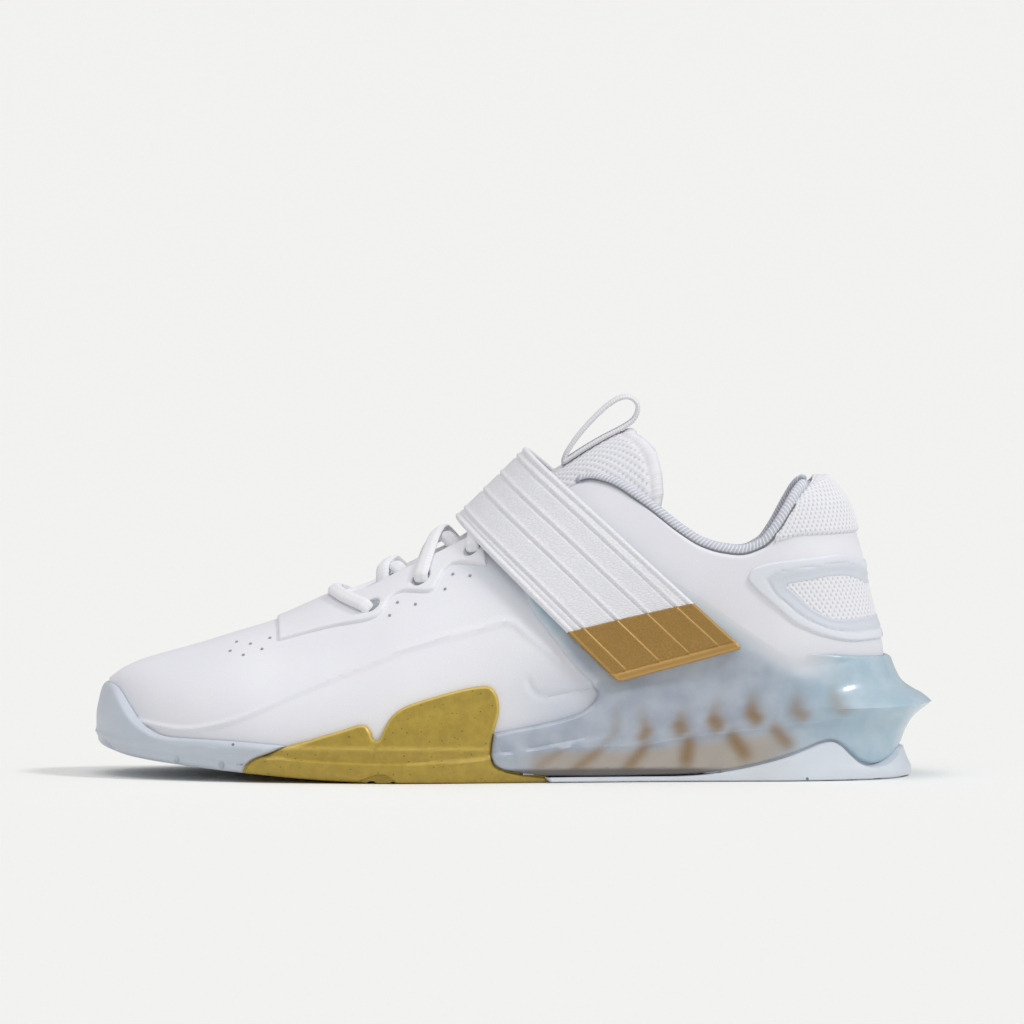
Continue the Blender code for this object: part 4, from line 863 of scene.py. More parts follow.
def build_side_wrap(sizes, colours):
    split = shift_run(smooth_run(side_view(TOE_WRAP_LINE)), -GAP / 2)
    lobes = smooth_run(side_view(LOBE_LINE))
    right = shift_run(smooth_run(side_view(WRAP_MIDSOLE_LINE)), -GAP / 2)
    view = np.concatenate((above_bottom(split), lobes[1:-1], right))
    bite = smooth_run(side_view(BITE))

    def ledge(along, v, height, depth):
        z = feather_z(along) + v
        shelf = bell(z, 0.0125, 0.0009) * smoothstep(0.20, 0.24, along)
        shelf *= 1 - smoothstep(0.47, 0.50, along)
        low = bell(height, mix(0.42, 0.10, smoothstep(0.18, 0.40, along)), 0.06)
        low *= 1 - smoothstep(0.36, 0.42, along)
        lip = bell(depth, 0.0010, 0.0006) * smoothstep(1.0, 1.2, height)
        hollow = smoothstep(0.0015, 0.0050, depth) * smoothstep(1.15, 1.30, height)
        notch = bell(along, 0.343 + 0.25 * np.clip(v - 0.003, 0, 1), 0.0035) * smoothstep(0.0, 0.006, v)
        return 0.0006 * shelf + 0.0004 * low + 0.00035 * lip - 0.0009 * notch - 0.0007 * hollow

    parts, lip_highlights = [], []
    for side in SIDES:
        line = on_wall(view, side, "toe", wrap_amount)
        cut_in = on_wall(bite[::-1], side, "toe", wrap_amount)
        back = bottom_line(0.5625, 0.372, side, "toe")
        front = bottom_line(0.321, 0.176, side, "toe")
        loop = join_loop(line, back, cut_in, front)
        points, faces, facts = wall_piece([loop], "toe", wrap_amount, rubber_radius, relief=ledge,
                                          spacing=0.0009)
        parts.append((points, faces, 0))
        # Painted highlight: a light band along the lobes' lips and along the ledge's shelf, which the gold
        # finish adds to its colour.
        lip = bell(facts["depth"], 0.0006, 0.0006) * smoothstep(1.0, 1.15, facts["height"])
        z = feather_z(facts["along"]) + facts["flat"][:, 1]
        shelf = bell(z, 0.0128, 0.0008) * smoothstep(0.20, 0.24, facts["along"])
        lip_highlights.append(both(np.clip(lip + 0.7 * shelf, 0, 1)))
    parts.append((*sole_slab(0.176, 0.5625, wrap_amount), 0))
    lip_highlights.append(np.zeros(len(parts[-1][0])))
    return make_piece("gold_wrap", parts, [gold_rubber(colours.gold_rubber)], ["side_wrap"],
                      values={"lip": np.concatenate(lip_highlights)})


def build_heel_midsole(sizes, colours):
    front = shift_run(smooth_run(side_view(WRAP_MIDSOLE_LINE)), GAP / 2)
    wave = shift_run(smooth_run(side_view(PLATE_LINE)), GAP / 2)
    window = smooth_run(side_view(WINDOW_LINE))
    top = smooth_run(side_view(WING_TOP_LINE))
    low = mirrored(np.concatenate((front, wave[1:])), "heel", midsole_amount)
    high = mirrored(np.concatenate((window, top)), "heel", midsole_amount)
    loop = join_loop(high[0], high[1][::-1], low[1], low[0][::-1])

    def ridge(along, v, height, depth):
        crest = bell(height, MIDSOLE_RIDGE(along), 0.030) * (height < 1.2)
        return 0.0007 * crest * (1 - smoothstep(0.93, 0.98, along))

    def sink(along, v):
        return (GAP + WING_THICKNESS + 0.0004) * (1 - wing_share(along, v))

    points, faces, facts = wall_piece([loop], "heel", midsole_amount, 0.0012, relief=ridge, edge=0.35,
                                      spacing=0.0012, sink=sink)
    core, core_faces = sole_slab(0.53, 1.0, midsole_amount, lift=0.0030)
    rest = np.zeros(len(core))
    shares = {"rib": rib_pattern(facts), "blue": blue_share(facts), "deep": deep_share(facts),
              "warm": warm_share(facts), "wing": 1 - wing_share(facts["along"], facts["flat"][:, 1])}
    values = {name: np.concatenate((both(share), rest)) for name, share in shares.items()}
    finish = frosted_moulding(colours)
    return make_piece("frosted_heel", [(points, faces, 0), (core, core_faces, 0)], [finish],
                      ["heel_midsole"], values=values, merge=1e-7)


def wing_share(along, v):
    """0 where the film has faded out at its edges, and 1 where it is whole."""
    points = np.stack(((along - 0.52) * UPPER_LENGTH + TO_BOX_CENTRE[0], feather_z(along) + v), -1)
    behind = open_distance(points, smooth_run(side_view(WING_TOP_LINE), 0.001))
    front = open_distance(points, smooth_run(side_view(WINDOW_LINE[5:]), 0.001))
    behind = mix(smoothstep(0.0005, 0.0130, behind), 1.0, smoothstep(0.88, 0.95, along))
    return behind * mix(0.5, 1.0, smoothstep(0.0, 0.0030, front))


# Where the gold inner ribs show through the moulding
RIB_SPOTS = (
    # along, height in the stack, length, width, lean, strength
    (0.640, 0.90, 0.0055, 0.0016, 1.3, 0.35), (0.686, 0.87, 0.0036, 0.0030, 0.5, 0.80),
    (0.733, 0.88, 0.0036, 0.0034, -0.4, 0.85), (0.778, 0.89, 0.0040, 0.0034, -0.8, 0.90),
    (0.828, 0.93, 0.0042, 0.0032, -0.9, 0.90), (0.883, 0.93, 0.0040, 0.0030, -0.9, 0.65),
    (0.927, 0.975, 0.0034, 0.0024, -0.9, 0.40), (0.560, 0.60, 0.0070, 0.0018, 1.6, 0.40),
    (0.612, 0.50, 0.0074, 0.0022, 1.5, 0.70), (0.676, 0.46, 0.0070, 0.0026, 0.9, 0.85),
    (0.742, 0.48, 0.0062, 0.0030, 0.15, 0.95), (0.808, 0.52, 0.0066, 0.0030, -0.7, 0.95),
    (0.862, 0.62, 0.0062, 0.0028, -0.8, 0.80),
)


def rib_pattern(facts):
    """How much of the gold ribs shows at each point, blurred by the frosted moulding over them."""
    along, height = facts["along"], facts["height"]
    stack = feather_z(along) - bottom_z(along)
    shown = np.zeros(len(along))
    for at, level, length, width, lean, strength in RIB_SPOTS:
        x = (along - at) * UPPER_LENGTH
        z = (height - level) * stack
        run = (z + lean * x) / math.hypot(1, lean)
        across = (x - lean * z) / math.hypot(1, lean)
        shown = np.maximum(shown, strength * np.exp(-(run / length) ** 4 - (across / width) ** 2))
    return shown


def blue_share(facts):
    """The moulding is bluest at the heel and along the edges of its wing."""
    along, height = facts["along"], facts["height"]
    heel = smoothstep(0.80, 0.98, along) * (1 - 0.35 * smoothstep(1.3, 1.5, height))
    edge = (1 - smoothstep(0.004, 0.022, facts["depth"])) * smoothstep(1.25, 1.6, height)
    return np.clip(np.maximum(heel, edge), 0, 1)


def deep_share(facts):
    """Painted shade: a dark line low down, where the moulding's inner floor meets its wall."""
    along, height = facts["along"], facts["height"]
    z = height * (feather_z(along) - bottom_z(along))
    line = 1 - smoothstep(0.0040, 0.0062, z)
    return line * smoothstep(0.49, 0.52, along) * (1 - smoothstep(0.74, 0.83, along))


def warm_share(facts):
    """The gold core tints the wall under its ridge."""
    along, height = facts["along"], facts["height"]
    under = 1 - smoothstep(-0.22, 0.0, height - MIDSOLE_RIDGE(along))
    return under * smoothstep(0.51, 0.57, along) * (1 - smoothstep(0.83, 0.90, along))


def build_heel_plate(sizes, colours):
    wave = shift_run(smooth_run(side_view(PLATE_LINE)), -GAP / 2)
    start = 0.565
    lateral, medial = mirrored(wave, "heel", plate_amount)
    loop = join_loop(lateral, medial[::-1], bottom_line(start, 1.0, MEDIAL, "heel"),
                     bottom_line(1.0, start, LATERAL, "heel"))
    points, faces, _facts = wall_piece([loop], "heel", plate_amount, 0.0008, spacing=0.0011)
    slab = sole_slab(start, 1.0, plate_amount, rise=0.0020)
    rubber = pale_rubber(colours.plate_rubber, "pale moulded heel rubber")
    return make_piece("heel_tread", [(points, faces, 0), (*slab, 0)], [rubber], ["heel_plate"])


# Upper

def line_relief(x, z, line, width, depth):
    """A soft line pressed into the leather, or raised where depth is below 0."""
    points = np.stack((x, z), -1)
    gap = open_distance(points, smooth_run(side_view(line), 0.001))
    return -depth * bell(gap, 0.0, width)


def open_distance(points, run):
    best = np.full(len(points), 1e9)
    a, b = run[:-1], run[1:]
    size = np.maximum(((b - a) ** 2).sum(1), 1e-18)
    for start in range(0, len(points), 4000):
        chunk = points[start:start + 4000, None, :] - a[None]
        share = np.clip((chunk * (b - a)).sum(-1) / size, 0, 1)
        best[start:start + 4000] = lengths(chunk - share[..., None] * (b - a)).min(1)
    return best


def tab_step(share, along):
    return TAB_STEP * smoothstep(0.83, 0.89, along) * smoothstep(TAB_LINE - 0.03, TAB_LINE + 0.03, share)


def wall_thickness(share, along):
    return UPPER_WALL + COLLAR_PAD * smoothstep(0.62, 0.86, share) * smoothstep(0.64, 0.76, along)


UPPER_ROWS = 90
INNER_ROWS = 24
LOW_ROWS = 0.65
UPPER_STEP = 0.00085


def loop_places(step):
    """Signed metres from the toe tip, from the heel along the outer side and back along the inner."""
    lateral, medial = FOOT_RUN[LATERAL][-1], FOOT_RUN[MEDIAL][-1]
    return np.concatenate((
        np.linspace(-lateral, 0, int(lateral / step)),
        np.linspace(0, medial, int(medial / step))[1:-1],
    ))


def upper_grid():
    """Places on the upper's outer side, a row of the section for each place round the foot."""
    u = loop_places(UPPER_STEP)
    along, side = place(u, "toe")
    edge_t = np.where(along <= THROAT_START, 1.0, t_at(along, edge_z(along, side), side))
    rows = np.linspace(0, 1, UPPER_ROWS)[None, :]
    low = np.minimum(LOW_ROWS, 0.8 * edge_t)[:, None]
    high = np.clip((rows - LOW_ROWS) / (1 - LOW_ROWS), 0, 1)
    t = low * np.minimum(rows / LOW_ROWS, 1) + (edge_t[:, None] - low) * high
    a, s = np.broadcast_to(along[:, None], t.shape), np.broadcast_to(side[:, None], t.shape)
    points = form(a, t, s)
    return u, a, s, t, points


def upper_normals(u, a, s, t):
    step = 5e-4
    ahead = form(*_round(u + step, t)) - form(*_round(u - step, t))
    up = form(a, t + 0.006, s) - form(a, t - 0.006, s)
    normal = unit(np.cross(up, ahead))
    top = (t > 0.9999) & (a <= THROAT_START)
    normal[..., 1] = np.where(top, 0.0, normal[..., 1])
    normal = unit(normal)
    narrow = lengths(ahead) < 0.35 * step
    for row in range(1, t.shape[1]):
        normal[narrow[:, row], row] = normal[narrow[:, row], row - 1]
    return normal


def _round(u, t):
    """Places along and side for rows of t at u metres round from the toe tip, past the heel back as well."""
    lateral, medial = FOOT_RUN[LATERAL][-1], FOOT_RUN[MEDIAL][-1]
    wrapped = np.where(u < -lateral, u + lateral + medial, np.where(u > medial, u - medial - lateral, u))
    along, side = place(wrapped, "toe")
    return np.broadcast_to(along[:, None], t.shape), t, np.broadcast_to(side[:, None], t.shape)


def quarter_painted_shade(points):
    """Painted shade: the leather is made greyer in front of the strap, where the strap's shadow falls, and
    low down behind the gold lobe.
    """
    x, z = points[:, 0], points[:, 2]
    ends = np.array(((0.45, 0.092), (0.652, 0.041)))
    ends[:, 0] = (ends[:, 0] - 0.52) * UPPER_LENGTH + TO_BOX_CENTRE[0]
    way = unit(ends[1] - ends[0])
    gap = (x - ends[0, 0]) * way[1] - (z - ends[0, 1]) * way[0]
    strap = bell(gap, 0.0, 0.010)
    low = smoothstep(0.058, 0.030, z) * smoothstep(-0.015, 0.020, x)
    return 0.75 * np.maximum(strap, low)


def build_upper(sizes, colours):
    u, a, s, t, points = upper_grid()
    normal = upper_normals(u, a, s, t)
    z = points[..., 2]
    share = (z - feather_z(a)) / np.maximum(top_run(a, s), 1e-6)
    x = points[..., 0].ravel()
    relief = line_relief(x, z.ravel(), QUARTER_LINE, 0.0009, -sizes.emboss).reshape(a.shape)
    relief += line_relief(x, z.ravel(), QUARTER_GROOVE, 0.0010, sizes.emboss).reshape(a.shape)
    roll = mix(UPPER_WALL * 0.45, wall_thickness(1.0, a) * 0.48, smoothstep(0.64, 0.76, a))
    rows = lengths(points - points[:, -1:, :])
    open_edge = smoothstep(THROAT_START, THROAT_START + 0.01, a)
    rounded = roll * (1 - round_off(rows / roll)) * open_edge
    outer = points + normal * (relief - rounded)[..., None]
    inner = points + normal * (tab_step(share, a) - wall_thickness(share, a) + rounded)[..., None]
    inner = inner[:, np.linspace(0, UPPER_ROWS - 1, INNER_ROWS).astype(int)]
    count = len(u)
    start = count * UPPER_ROWS
    faces = grid_faces(count, UPPER_ROWS, loop=True)
    faces += [tuple(i + start for i in reversed(f)) for f in grid_faces(count, INNER_ROWS, loop=True)]
    for i in range(count):
        n = (i + 1) % count
        faces.append((n * UPPER_ROWS, i * UPPER_ROWS, start + i * INNER_ROWS, start + n * INNER_ROWS))
        if a[i, 0] > THROAT_START or a[n, 0] > THROAT_START:
            faces.append(((i + 1) * UPPER_ROWS - 1, (n + 1) * UPPER_ROWS - 1,
                          start + (n + 1) * INNER_ROWS - 1, start + (i + 1) * INNER_ROWS - 1))
    points = np.concatenate((outer.reshape(-1, 3), inner.reshape(-1, 3)))
    # Painted shade: the upper's leather turns to the hollow colour in front of the strap and low down.
    leather = coated_leather(colours.leather, colours.hollow)
    return make_piece("shoe_upper", [(points, faces, 0)], [leather], ["upper"],
                      values={"hollow": quarter_painted_shade(points)}, merge=2e-6)


INSTEP_MAP = 0.1
STAY_BACK = 0.486
STAY_FRONT = 0.2165
HOLE_TURNS = 36


def eyestay_places(u, v):
    """Places on the form for a map of the instep: u metres along it and v either side of its ridge."""
    return u / UPPER_LENGTH, 1 - np.abs(v) / INSTEP_MAP, np.where(v < 0, LATERAL, MEDIAL)


def ridge_map(u, v):
    """Places and outward directions for (u, v) of the instep's map."""
    step = 6e-4
    ahead = form(*eyestay_places(u + step, v)) - form(*eyestay_places(u - step, v))
    across = form(*eyestay_places(u, v + step)) - form(*eyestay_places(u, v - step))
    return form(*eyestay_places(u, v)), unit(np.cross(ahead, across))


def build_eyestay(sizes, colours):
    """A horseshoe of thin leather round the throat, with its wavy outer edge."""
    view = smooth_run(side_view(EYESTAY_OUTLINE))
    along = (view[:, 0] - TO_BOX_CENTRE[0]) / UPPER_LENGTH + 0.52
    height = np.minimum(view[:, 1], ridge_z(along) - 1e-5)
    back = np.linspace(STAY_BACK, THROAT_START + 0.0012, 90)
    outline, throat = {}, {}
    for side in SIDES:
        down = (1 - t_at(along, height, side)) * INSTEP_MAP
        inner = (1.008 - t_at(back, edge_z(back, side), side)) * INSTEP_MAP
        outline[side] = np.stack((along * UPPER_LENGTH, side * down), -1)
        throat[side] = np.stack((back * UPPER_LENGTH, side * inner), -1)
    nose = np.array([[(THROAT_START - 0.004) * UPPER_LENGTH, 0.0]])
    front = np.array([[STAY_FRONT * UPPER_LENGTH, 0.0]])
    loop = join_loop(outline[LATERAL], throat[LATERAL], nose, throat[MEDIAL][::-1], outline[MEDIAL][::-1],
                     front)
    turn = np.linspace(0, 2 * math.pi, HOLE_TURNS, endpoint=False)
    hole = np.stack((0.0031 * np.cos(turn), 0.0030 * np.sin(turn)), -1)
    spots = [(at * UPPER_LENGTH, side * (1 - up) * INSTEP_MAP) for at, up in EYELETS for side in SIDES]
    flat, faces, depth = fill([loop, *(hole + spot for spot in spots)], 0.0011, (0.0003, 0.0007, 0.0012))
    points, normal = ridge_map(flat[:, 0], flat[:, 1])
    outer = points + normal * ((OVERLAY_CLEAR + EYESTAY_THICKNESS) * round_off(depth / 0.0011))[:, None]
    inner = points - normal * 0.0002
    inner[depth < 1e-6] = outer[depth < 1e-6]
    return make_piece("lace_stay", [(*closed(outer, inner, faces), 0)], [coated_leather(colours.leather)],
                      ["eyestay"])


def build_counter(sizes, colours):
    """A raised leather ring round a knitted window at the heel."""

    def flush(height, along):
        return np.full(np.shape(height), COUNTER_THICKNESS)

    lower, upper, window = (mirrored(smooth_run(side_view(line)), "heel", flush)
                            for line in (COUNTER_LOWER, COUNTER_OUTLINE, COUNTER_WINDOW))
    loop = join_loop(lower[0], upper[0][1:], upper[1][::-1], lower[1][::-1][1:])
    span = join_loop(window[0][::-1], window[1])
    flat, faces, _depth = fill([loop, span], 0.0008)
    base, normal = wall(flat[:, 0], flat[:, 1], "heel")
    outside, inside = loop_distance(flat, [loop]), loop_distance(flat, [span])
    share = outside / (outside + inside + 1e-9)
    slope = smoothstep(0.42, 1.0, share)
    out = mix(-0.0002, COUNTER_THICKNESS, round_off(outside / 0.0009)) * mix(1.0, 0.25, slope)
    out = out - 0.00045 * bell(share, 0.42, 0.05) + 0.0003 * bell(share, 0.92, 0.06)
    points, made = closed(base + normal * out[:, None], base - normal * 0.0002, faces)
    # Painted shade: the ring is darker in its crease and down its concave inner slope.
    dark = mix(0.0, 0.55, smoothstep(0.34, 0.56, share)) + 0.3 * bell(share, 0.42, 0.06)
    ring = make_piece("heel_ring", [(points, made, 0)], [coated_leather(colours.counter, colours.hollow)],
                      ["heel_counter"], values={"hollow": both(np.clip(dark, 0, 1))})
    flat, faces, _depth = fill([span], 0.00042, ())
    base, normal = wall(flat[:, 0], flat[:, 1], "heel")
    knops = knit_bumps(flat, sizes.knit_pitch)
    out = knops * sizes.knit_pitch * KNOP_HEIGHT
    points, made = closed(base + normal * out[:, None], base - normal * 0.0002, faces)
    mesh = make_piece("heel_window", [(points, made, 0)], [spacer_mesh(colours.knit)], uv=both(flat),
                      values={"knop": both(knops)}, sharp=80)
    return ring, mesh


# Height of a knop and the distance between rows of them, as shares of their pitch
KNOP_HEIGHT = 0.18
KNOP_ROWS = 0.57


def knit_bumps(flat, pitch):
    """Round knops in staggered rows, as a spacer mesh has, from 0 between them to 1 on top."""
    x, y = flat[:, 0] / pitch, flat[:, 1] / (pitch * KNOP_ROWS)
    return (0.5 + 0.5 * np.cos(2 * math.pi * x) * np.cos(math.pi * y)) ** 0.8


def build_heel_tab(sizes, colours):
    """The knitted pad at the top of the heel, rolled over the tab's edge."""
    total = {side: FOOT_RUN[side][-1] for side in SIDES}
    edge = {side: total[side] - np.interp(0.868, SHARES, FOOT_RUN[side]) for side in SIDES}
    u = np.concatenate((np.linspace(-edge[LATERAL], 0, 170), np.linspace(0, edge[MEDIAL], 170)[1:]))
    along, side = place(u, "heel")
    rise = top_run(along, side)
    thick = (wall_thickness(1.0, along) + TAB_STEP) / 2
    top = rise - thick * 0.95
    line = mix(0.0880, 0.0900, smoothstep(0.868, 0.92, along)) - feather_z(along)
    start = np.minimum(line, top - 0.0002)
    rows = np.linspace(0, 1, 90)
    v = mix(start[:, None], top[:, None], rows[None, :])
    uu = np.broadcast_to(u[:, None], v.shape)
    base, normal = wall(uu, v, "heel")
    lift = unit(wall(u, top + 0.0004, "heel")[0] - wall(u, top - 0.0004, "heel")[0])
    turn = np.linspace(0, math.pi, 26)[1:]
    over = top[:, None] + thick[:, None] * turn[None, :]
    columns = np.broadcast_to(u[:, None], (len(u), v.shape[1] + over.shape[1]))
    flat = np.stack((columns, np.concatenate((v, over), 1)), -1)
    side_depth = np.minimum(u + edge[LATERAL], edge[MEDIAL] - u)[:, None]
    depth = np.minimum(flat[..., 1] - start[:, None], side_depth)
    knops = knit_bumps(flat.reshape(-1, 2), sizes.knit_pitch)
    bumps = knops.reshape(depth.shape) * sizes.knit_pitch * KNOP_HEIGHT * smoothstep(0, 0.001, depth)
    swell = mix(-0.0010, 0.0, round_off(depth / 0.0016)) + bumps

    def skin(extra):
        face = base + normal * (TAB_STEP + extra[:, :len(rows)])[..., None]
        size = thick[:, None] + extra[:, len(rows):]
        middle = base[:, -1] + normal[:, -1] * (TAB_STEP - thick)[:, None]
        arc = middle[:, None] + normal[:, -1:] * (size * np.cos(turn))[..., None]
        arc = arc + lift[:, None] * (size * np.sin(turn))[..., None]
        return np.concatenate((face, arc), 1)

    pad = closed_sheet(skin(swell), skin(np.full(depth.shape, -0.0012)))
    return make_piece("heel_pad", [(*pad, 0)], [spacer_mesh(colours.knit)],
                      uv=both(flat.reshape(-1, 2)), values={"knop": both(knops)}, sharp=80)


# What repeats, made with Geometry Nodes

def node_tree(name, sizes):
    """A Geometry Nodes tree with a geometry input and a named input for each size."""
    tree = bpy.data.node_groups.new(name, "GeometryNodeTree")
    tree.interface.new_socket("Geometry", in_out="INPUT", socket_type="NodeSocketGeometry")
    for label, value in sizes.items():
        socket = tree.interface.new_socket(label, in_out="INPUT", socket_type="NodeSocketFloat")
        socket.default_value = value
        socket.subtype = "DISTANCE"
    tree.interface.new_socket("Geometry", in_out="OUTPUT", socket_type="NodeSocketGeometry")
    return tree


def end_tree(tree, placed, finish):
    """Ends a tree: its instances become real and take their finish."""
    real = add(tree, "GeometryNodeRealizeInstances", {"Geometry": placed.outputs[0]})
    painted = add(tree, "GeometryNodeSetMaterial", {"Geometry": real.outputs[0], "Material": finish})
    tree.links.new(painted.outputs[0], add(tree, "NodeGroupOutput").inputs[0])
    return tree


def beads_tree(name, finish, sizes):
    """Small rounded bars set square along a path, one every spacing."""
    tree = node_tree(name, sizes)
    source = add(tree, "NodeGroupInput").outputs
    line = add(tree, "GeometryNodeMeshToCurve", {"Mesh": source["Geometry"]})
    even = add(tree, "GeometryNodeResampleCurve", {"Curve": line.outputs[0], "Length": source["Spacing"]},
               mode="LENGTH")
    ball = add(tree, "GeometryNodeMeshUVSphere", {"Segments": 10, "Rings": 6, "Radius": 0.5})
    size = add(tree, "CombineXYZ", {0: source["Length"], 1: source["Width"], 2: source["Height"]})
    tangent = add(tree, "GeometryNodeInputTangent")
    out = add(tree, "GeometryNodeInputNamedAttribute", {"Name": "out"}, data_type="FLOAT_VECTOR")
    turn = add(tree, "FunctionNodeAxesToRotation", {0: out.outputs[0], 1: tangent.outputs[0]},
               primary_axis="Z", secondary_axis="X")
    links = {"Points": even.outputs[0], "Instance": ball.outputs[0], "Rotation": turn.outputs[0],
             "Scale": size.outputs[0]}
    return end_tree(tree, add(tree, "GeometryNodeInstanceOnPoints", links), finish)


def spots_tree(name, finish, sizes):
    """Small round cups set on a surface's points, square to it."""
    tree = node_tree(name, sizes)
    source = add(tree, "NodeGroupInput").outputs
    cup = add(tree, "GeometryNodeMeshCone", {"Vertices": 14, "Radius Top": source["Radius"],
                                             "Radius Bottom": source["Radius"], "Depth": source["Depth"]})
    out = add(tree, "GeometryNodeInputNamedAttribute", {"Name": "out"}, data_type="FLOAT_VECTOR")
    turn = add(tree, "FunctionNodeAlignRotationToVector", {"Vector": out.outputs[0]}, axis="Z")
    links = {"Points": source["Geometry"], "Instance": cup.outputs[0], "Rotation": turn.outputs[0]}
    return end_tree(tree, add(tree, "GeometryNodeInstanceOnPoints", links), finish)


def grown(name, tree, sizes, places, outs, joined=False):
    """Runs a tree on places with their outward directions, or on the line through them, as a plain mesh."""
    edges = [(i, i + 1) for i in range(len(places) - 1)] if joined else []
    mesh = bpy.data.meshes.new(name + "_guide")
    mesh.from_pydata(places.tolist(), edges, [])
    attribute = mesh.attributes.new("out", "FLOAT_VECTOR", "POINT")
    attribute.data.foreach_set("vector", outs.astype(np.float32).ravel())
    guide = new_object(name + "_guide", mesh)
    modifier = guide.modifiers.new("grow", "NODES")
    modifier.node_group = tree
    for item in tree.interface.items_tree:
        if item.item_type == "SOCKET" and item.in_out == "INPUT" and item.name in sizes:
            modifier[item.identifier] = sizes[item.name]
    made = bpy.data.meshes.new_from_object(guide.evaluated_get(bpy.context.evaluated_depsgraph_get()))
    bpy.data.objects.remove(guide)
    made.name = name
    if not made.polygons:
        raise RuntimeError(name + " came out empty")
    made.shade_smooth()
    return settle(new_object(name, made))


# Collar edging, tongue and insole

def binding_path(side):
    along = np.linspace(0.600, 0.972, 170)
    height = edge_z(along, side)
    t = t_at(along, height, side)
    points = form(along, t, side)
    out = outward(along, t, np.full(len(along), side))
    square = unit(np.cross(out, np.gradient(points, axis=0)))
    square *= np.sign(square[:, 2:3])
    inset = wall_thickness(1.0, along) / 2 - tab_step(1.0, along)
    return points - out * inset[:, None] + square * (BINDING_RADIUS * 0.8), out, square


def tube(path, out, width, height, sides=12, power=2.0):
    """A soft oval swept along a path, closed at both ends. out is the way its thickness goes."""
    heading = unit(np.gradient(path, axis=0))
    across = unit(np.cross(heading, out))
    normal = np.cross(across, heading)
    angle = np.linspace(0, 2 * math.pi, sides, endpoint=False)
    shape = np.abs(np.cos(angle)) ** (2 / power) * np.sign(np.cos(angle))
    rise = np.abs(np.sin(angle)) ** (2 / power) * np.sign(np.sin(angle))
    width = np.broadcast_to(width, len(path))[:, None, None]
    height = np.broadcast_to(height, len(path))[:, None, None]
    ring = path[:, None, :] + across[:, None, :] * shape[None, :, None] * width / 2
    ring = ring + normal[:, None, :] * rise[None, :, None] * height / 2
    count = len(path)
    points = np.concatenate((ring.reshape(-1, 3), path[:1], path[-1:]))
    faces = []
    for i in range(count - 1):
        for j in range(sides):
            n = (j + 1) % sides
            faces.append((i * sides + j, (i + 1) * sides + j, (i + 1) * sides + n, i * sides + n))
    for j in range(sides):
        n = (j + 1) % sides
        faces.append((count * sides, j, n))
        faces.append((count * sides + 1, (count - 1) * sides + n, (count - 1) * sides + j))
    run = run_along(path)
    flat = np.stack((np.repeat(run, sides), np.tile(angle / (2 * math.pi), count)), -1)
    return points, faces, np.concatenate((flat, [[0.0, 0.0], [run[-1], 0.0]]))


def build_bindings(sizes, colours):
    """A knitted rope on each side of the collar: a core, coloured darker as painted shade between the ribs, a
    thin tube of painted shadow along the seam under it, and the ribs round it.
    """
    yarn = knit_yarn(colours.knit)
    rib = sizes.rope_width * 1.03
    ribs = {"Spacing": sizes.rib_pitch, "Length": sizes.rib_pitch * 1.05, "Width": rib, "Height": rib}
    for side, word in zip(SIDES, ("lateral", "medial")):
        path, out, square = binding_path(side)
        run = run_along(path)
        taper = sizes.rope_width * round_off(run / 0.003) * round_off((run[-1] - run) / 0.005)
        points, faces, _flat = tube(path, square, taper * 0.84 + 0.0004, taper * 0.84 + 0.0004)
        # The seam line: a thin tube in a dark finish, painted shadow under the rope's outer side.
        seam = path + (out - square) * (taper * 0.37)[:, None]
        line, shadow_line_faces, _flat = tube(seam[3:-25], square[3:-25], 0.0006, 0.0006, sides=6)
        # The core takes the hollow colour: painted shade between the ribs.
        make_piece(f"collar_core_{word}", [(points, faces, 0), (line, shadow_line_faces, 1)],
                   [knit_yarn(colours.hollow), shadow("#7d7f87")], [f"collar_binding_{word}"])
        slanted = unit(square + unit(np.gradient(path, axis=0)) * 0.45)
        tree = beads_tree(f"collar ribs {word}", yarn, ribs)
        grown(f"collar_ribs_{word}", tree, ribs, path[4:-6], slanted[4:-6], joined=True)


TONGUE_TOP = (
    (0.672, 0.990), (0.684, 0.975), (0.698, 0.94), (0.706, 0.88), (0.709, 0.82), (0.705, 0.76),
    (0.700, 0.60),
)


TONGUE_HALF_WIDTH = 0.045


def tongue_depth(along, span):
    """How far the tongue lies inside the form: deeper by the padded collar and its edging."""
    clear = mix(0.0011, 0.0006, smoothstep(0.50, 0.58, along))
    clear = clear + mix(0.0010, 0.0, smoothstep(0.27, 0.33, along))
    beside = mix(0.0, 0.0012, smoothstep(0.52, 0.60, along)) + COLLAR_PAD * smoothstep(0.60, 0.72, along)
    return UPPER_WALL + clear + beside * (1 - span)


def tongue_end(z):
    """Share along at which the tongue's top edge stands at a height."""
    table = np.array([(up * INSTEP_HEIGHT, a) for a, up in TONGUE_TOP])[::-1]
    return np.interp(z, table[:, 0], table[:, 1])


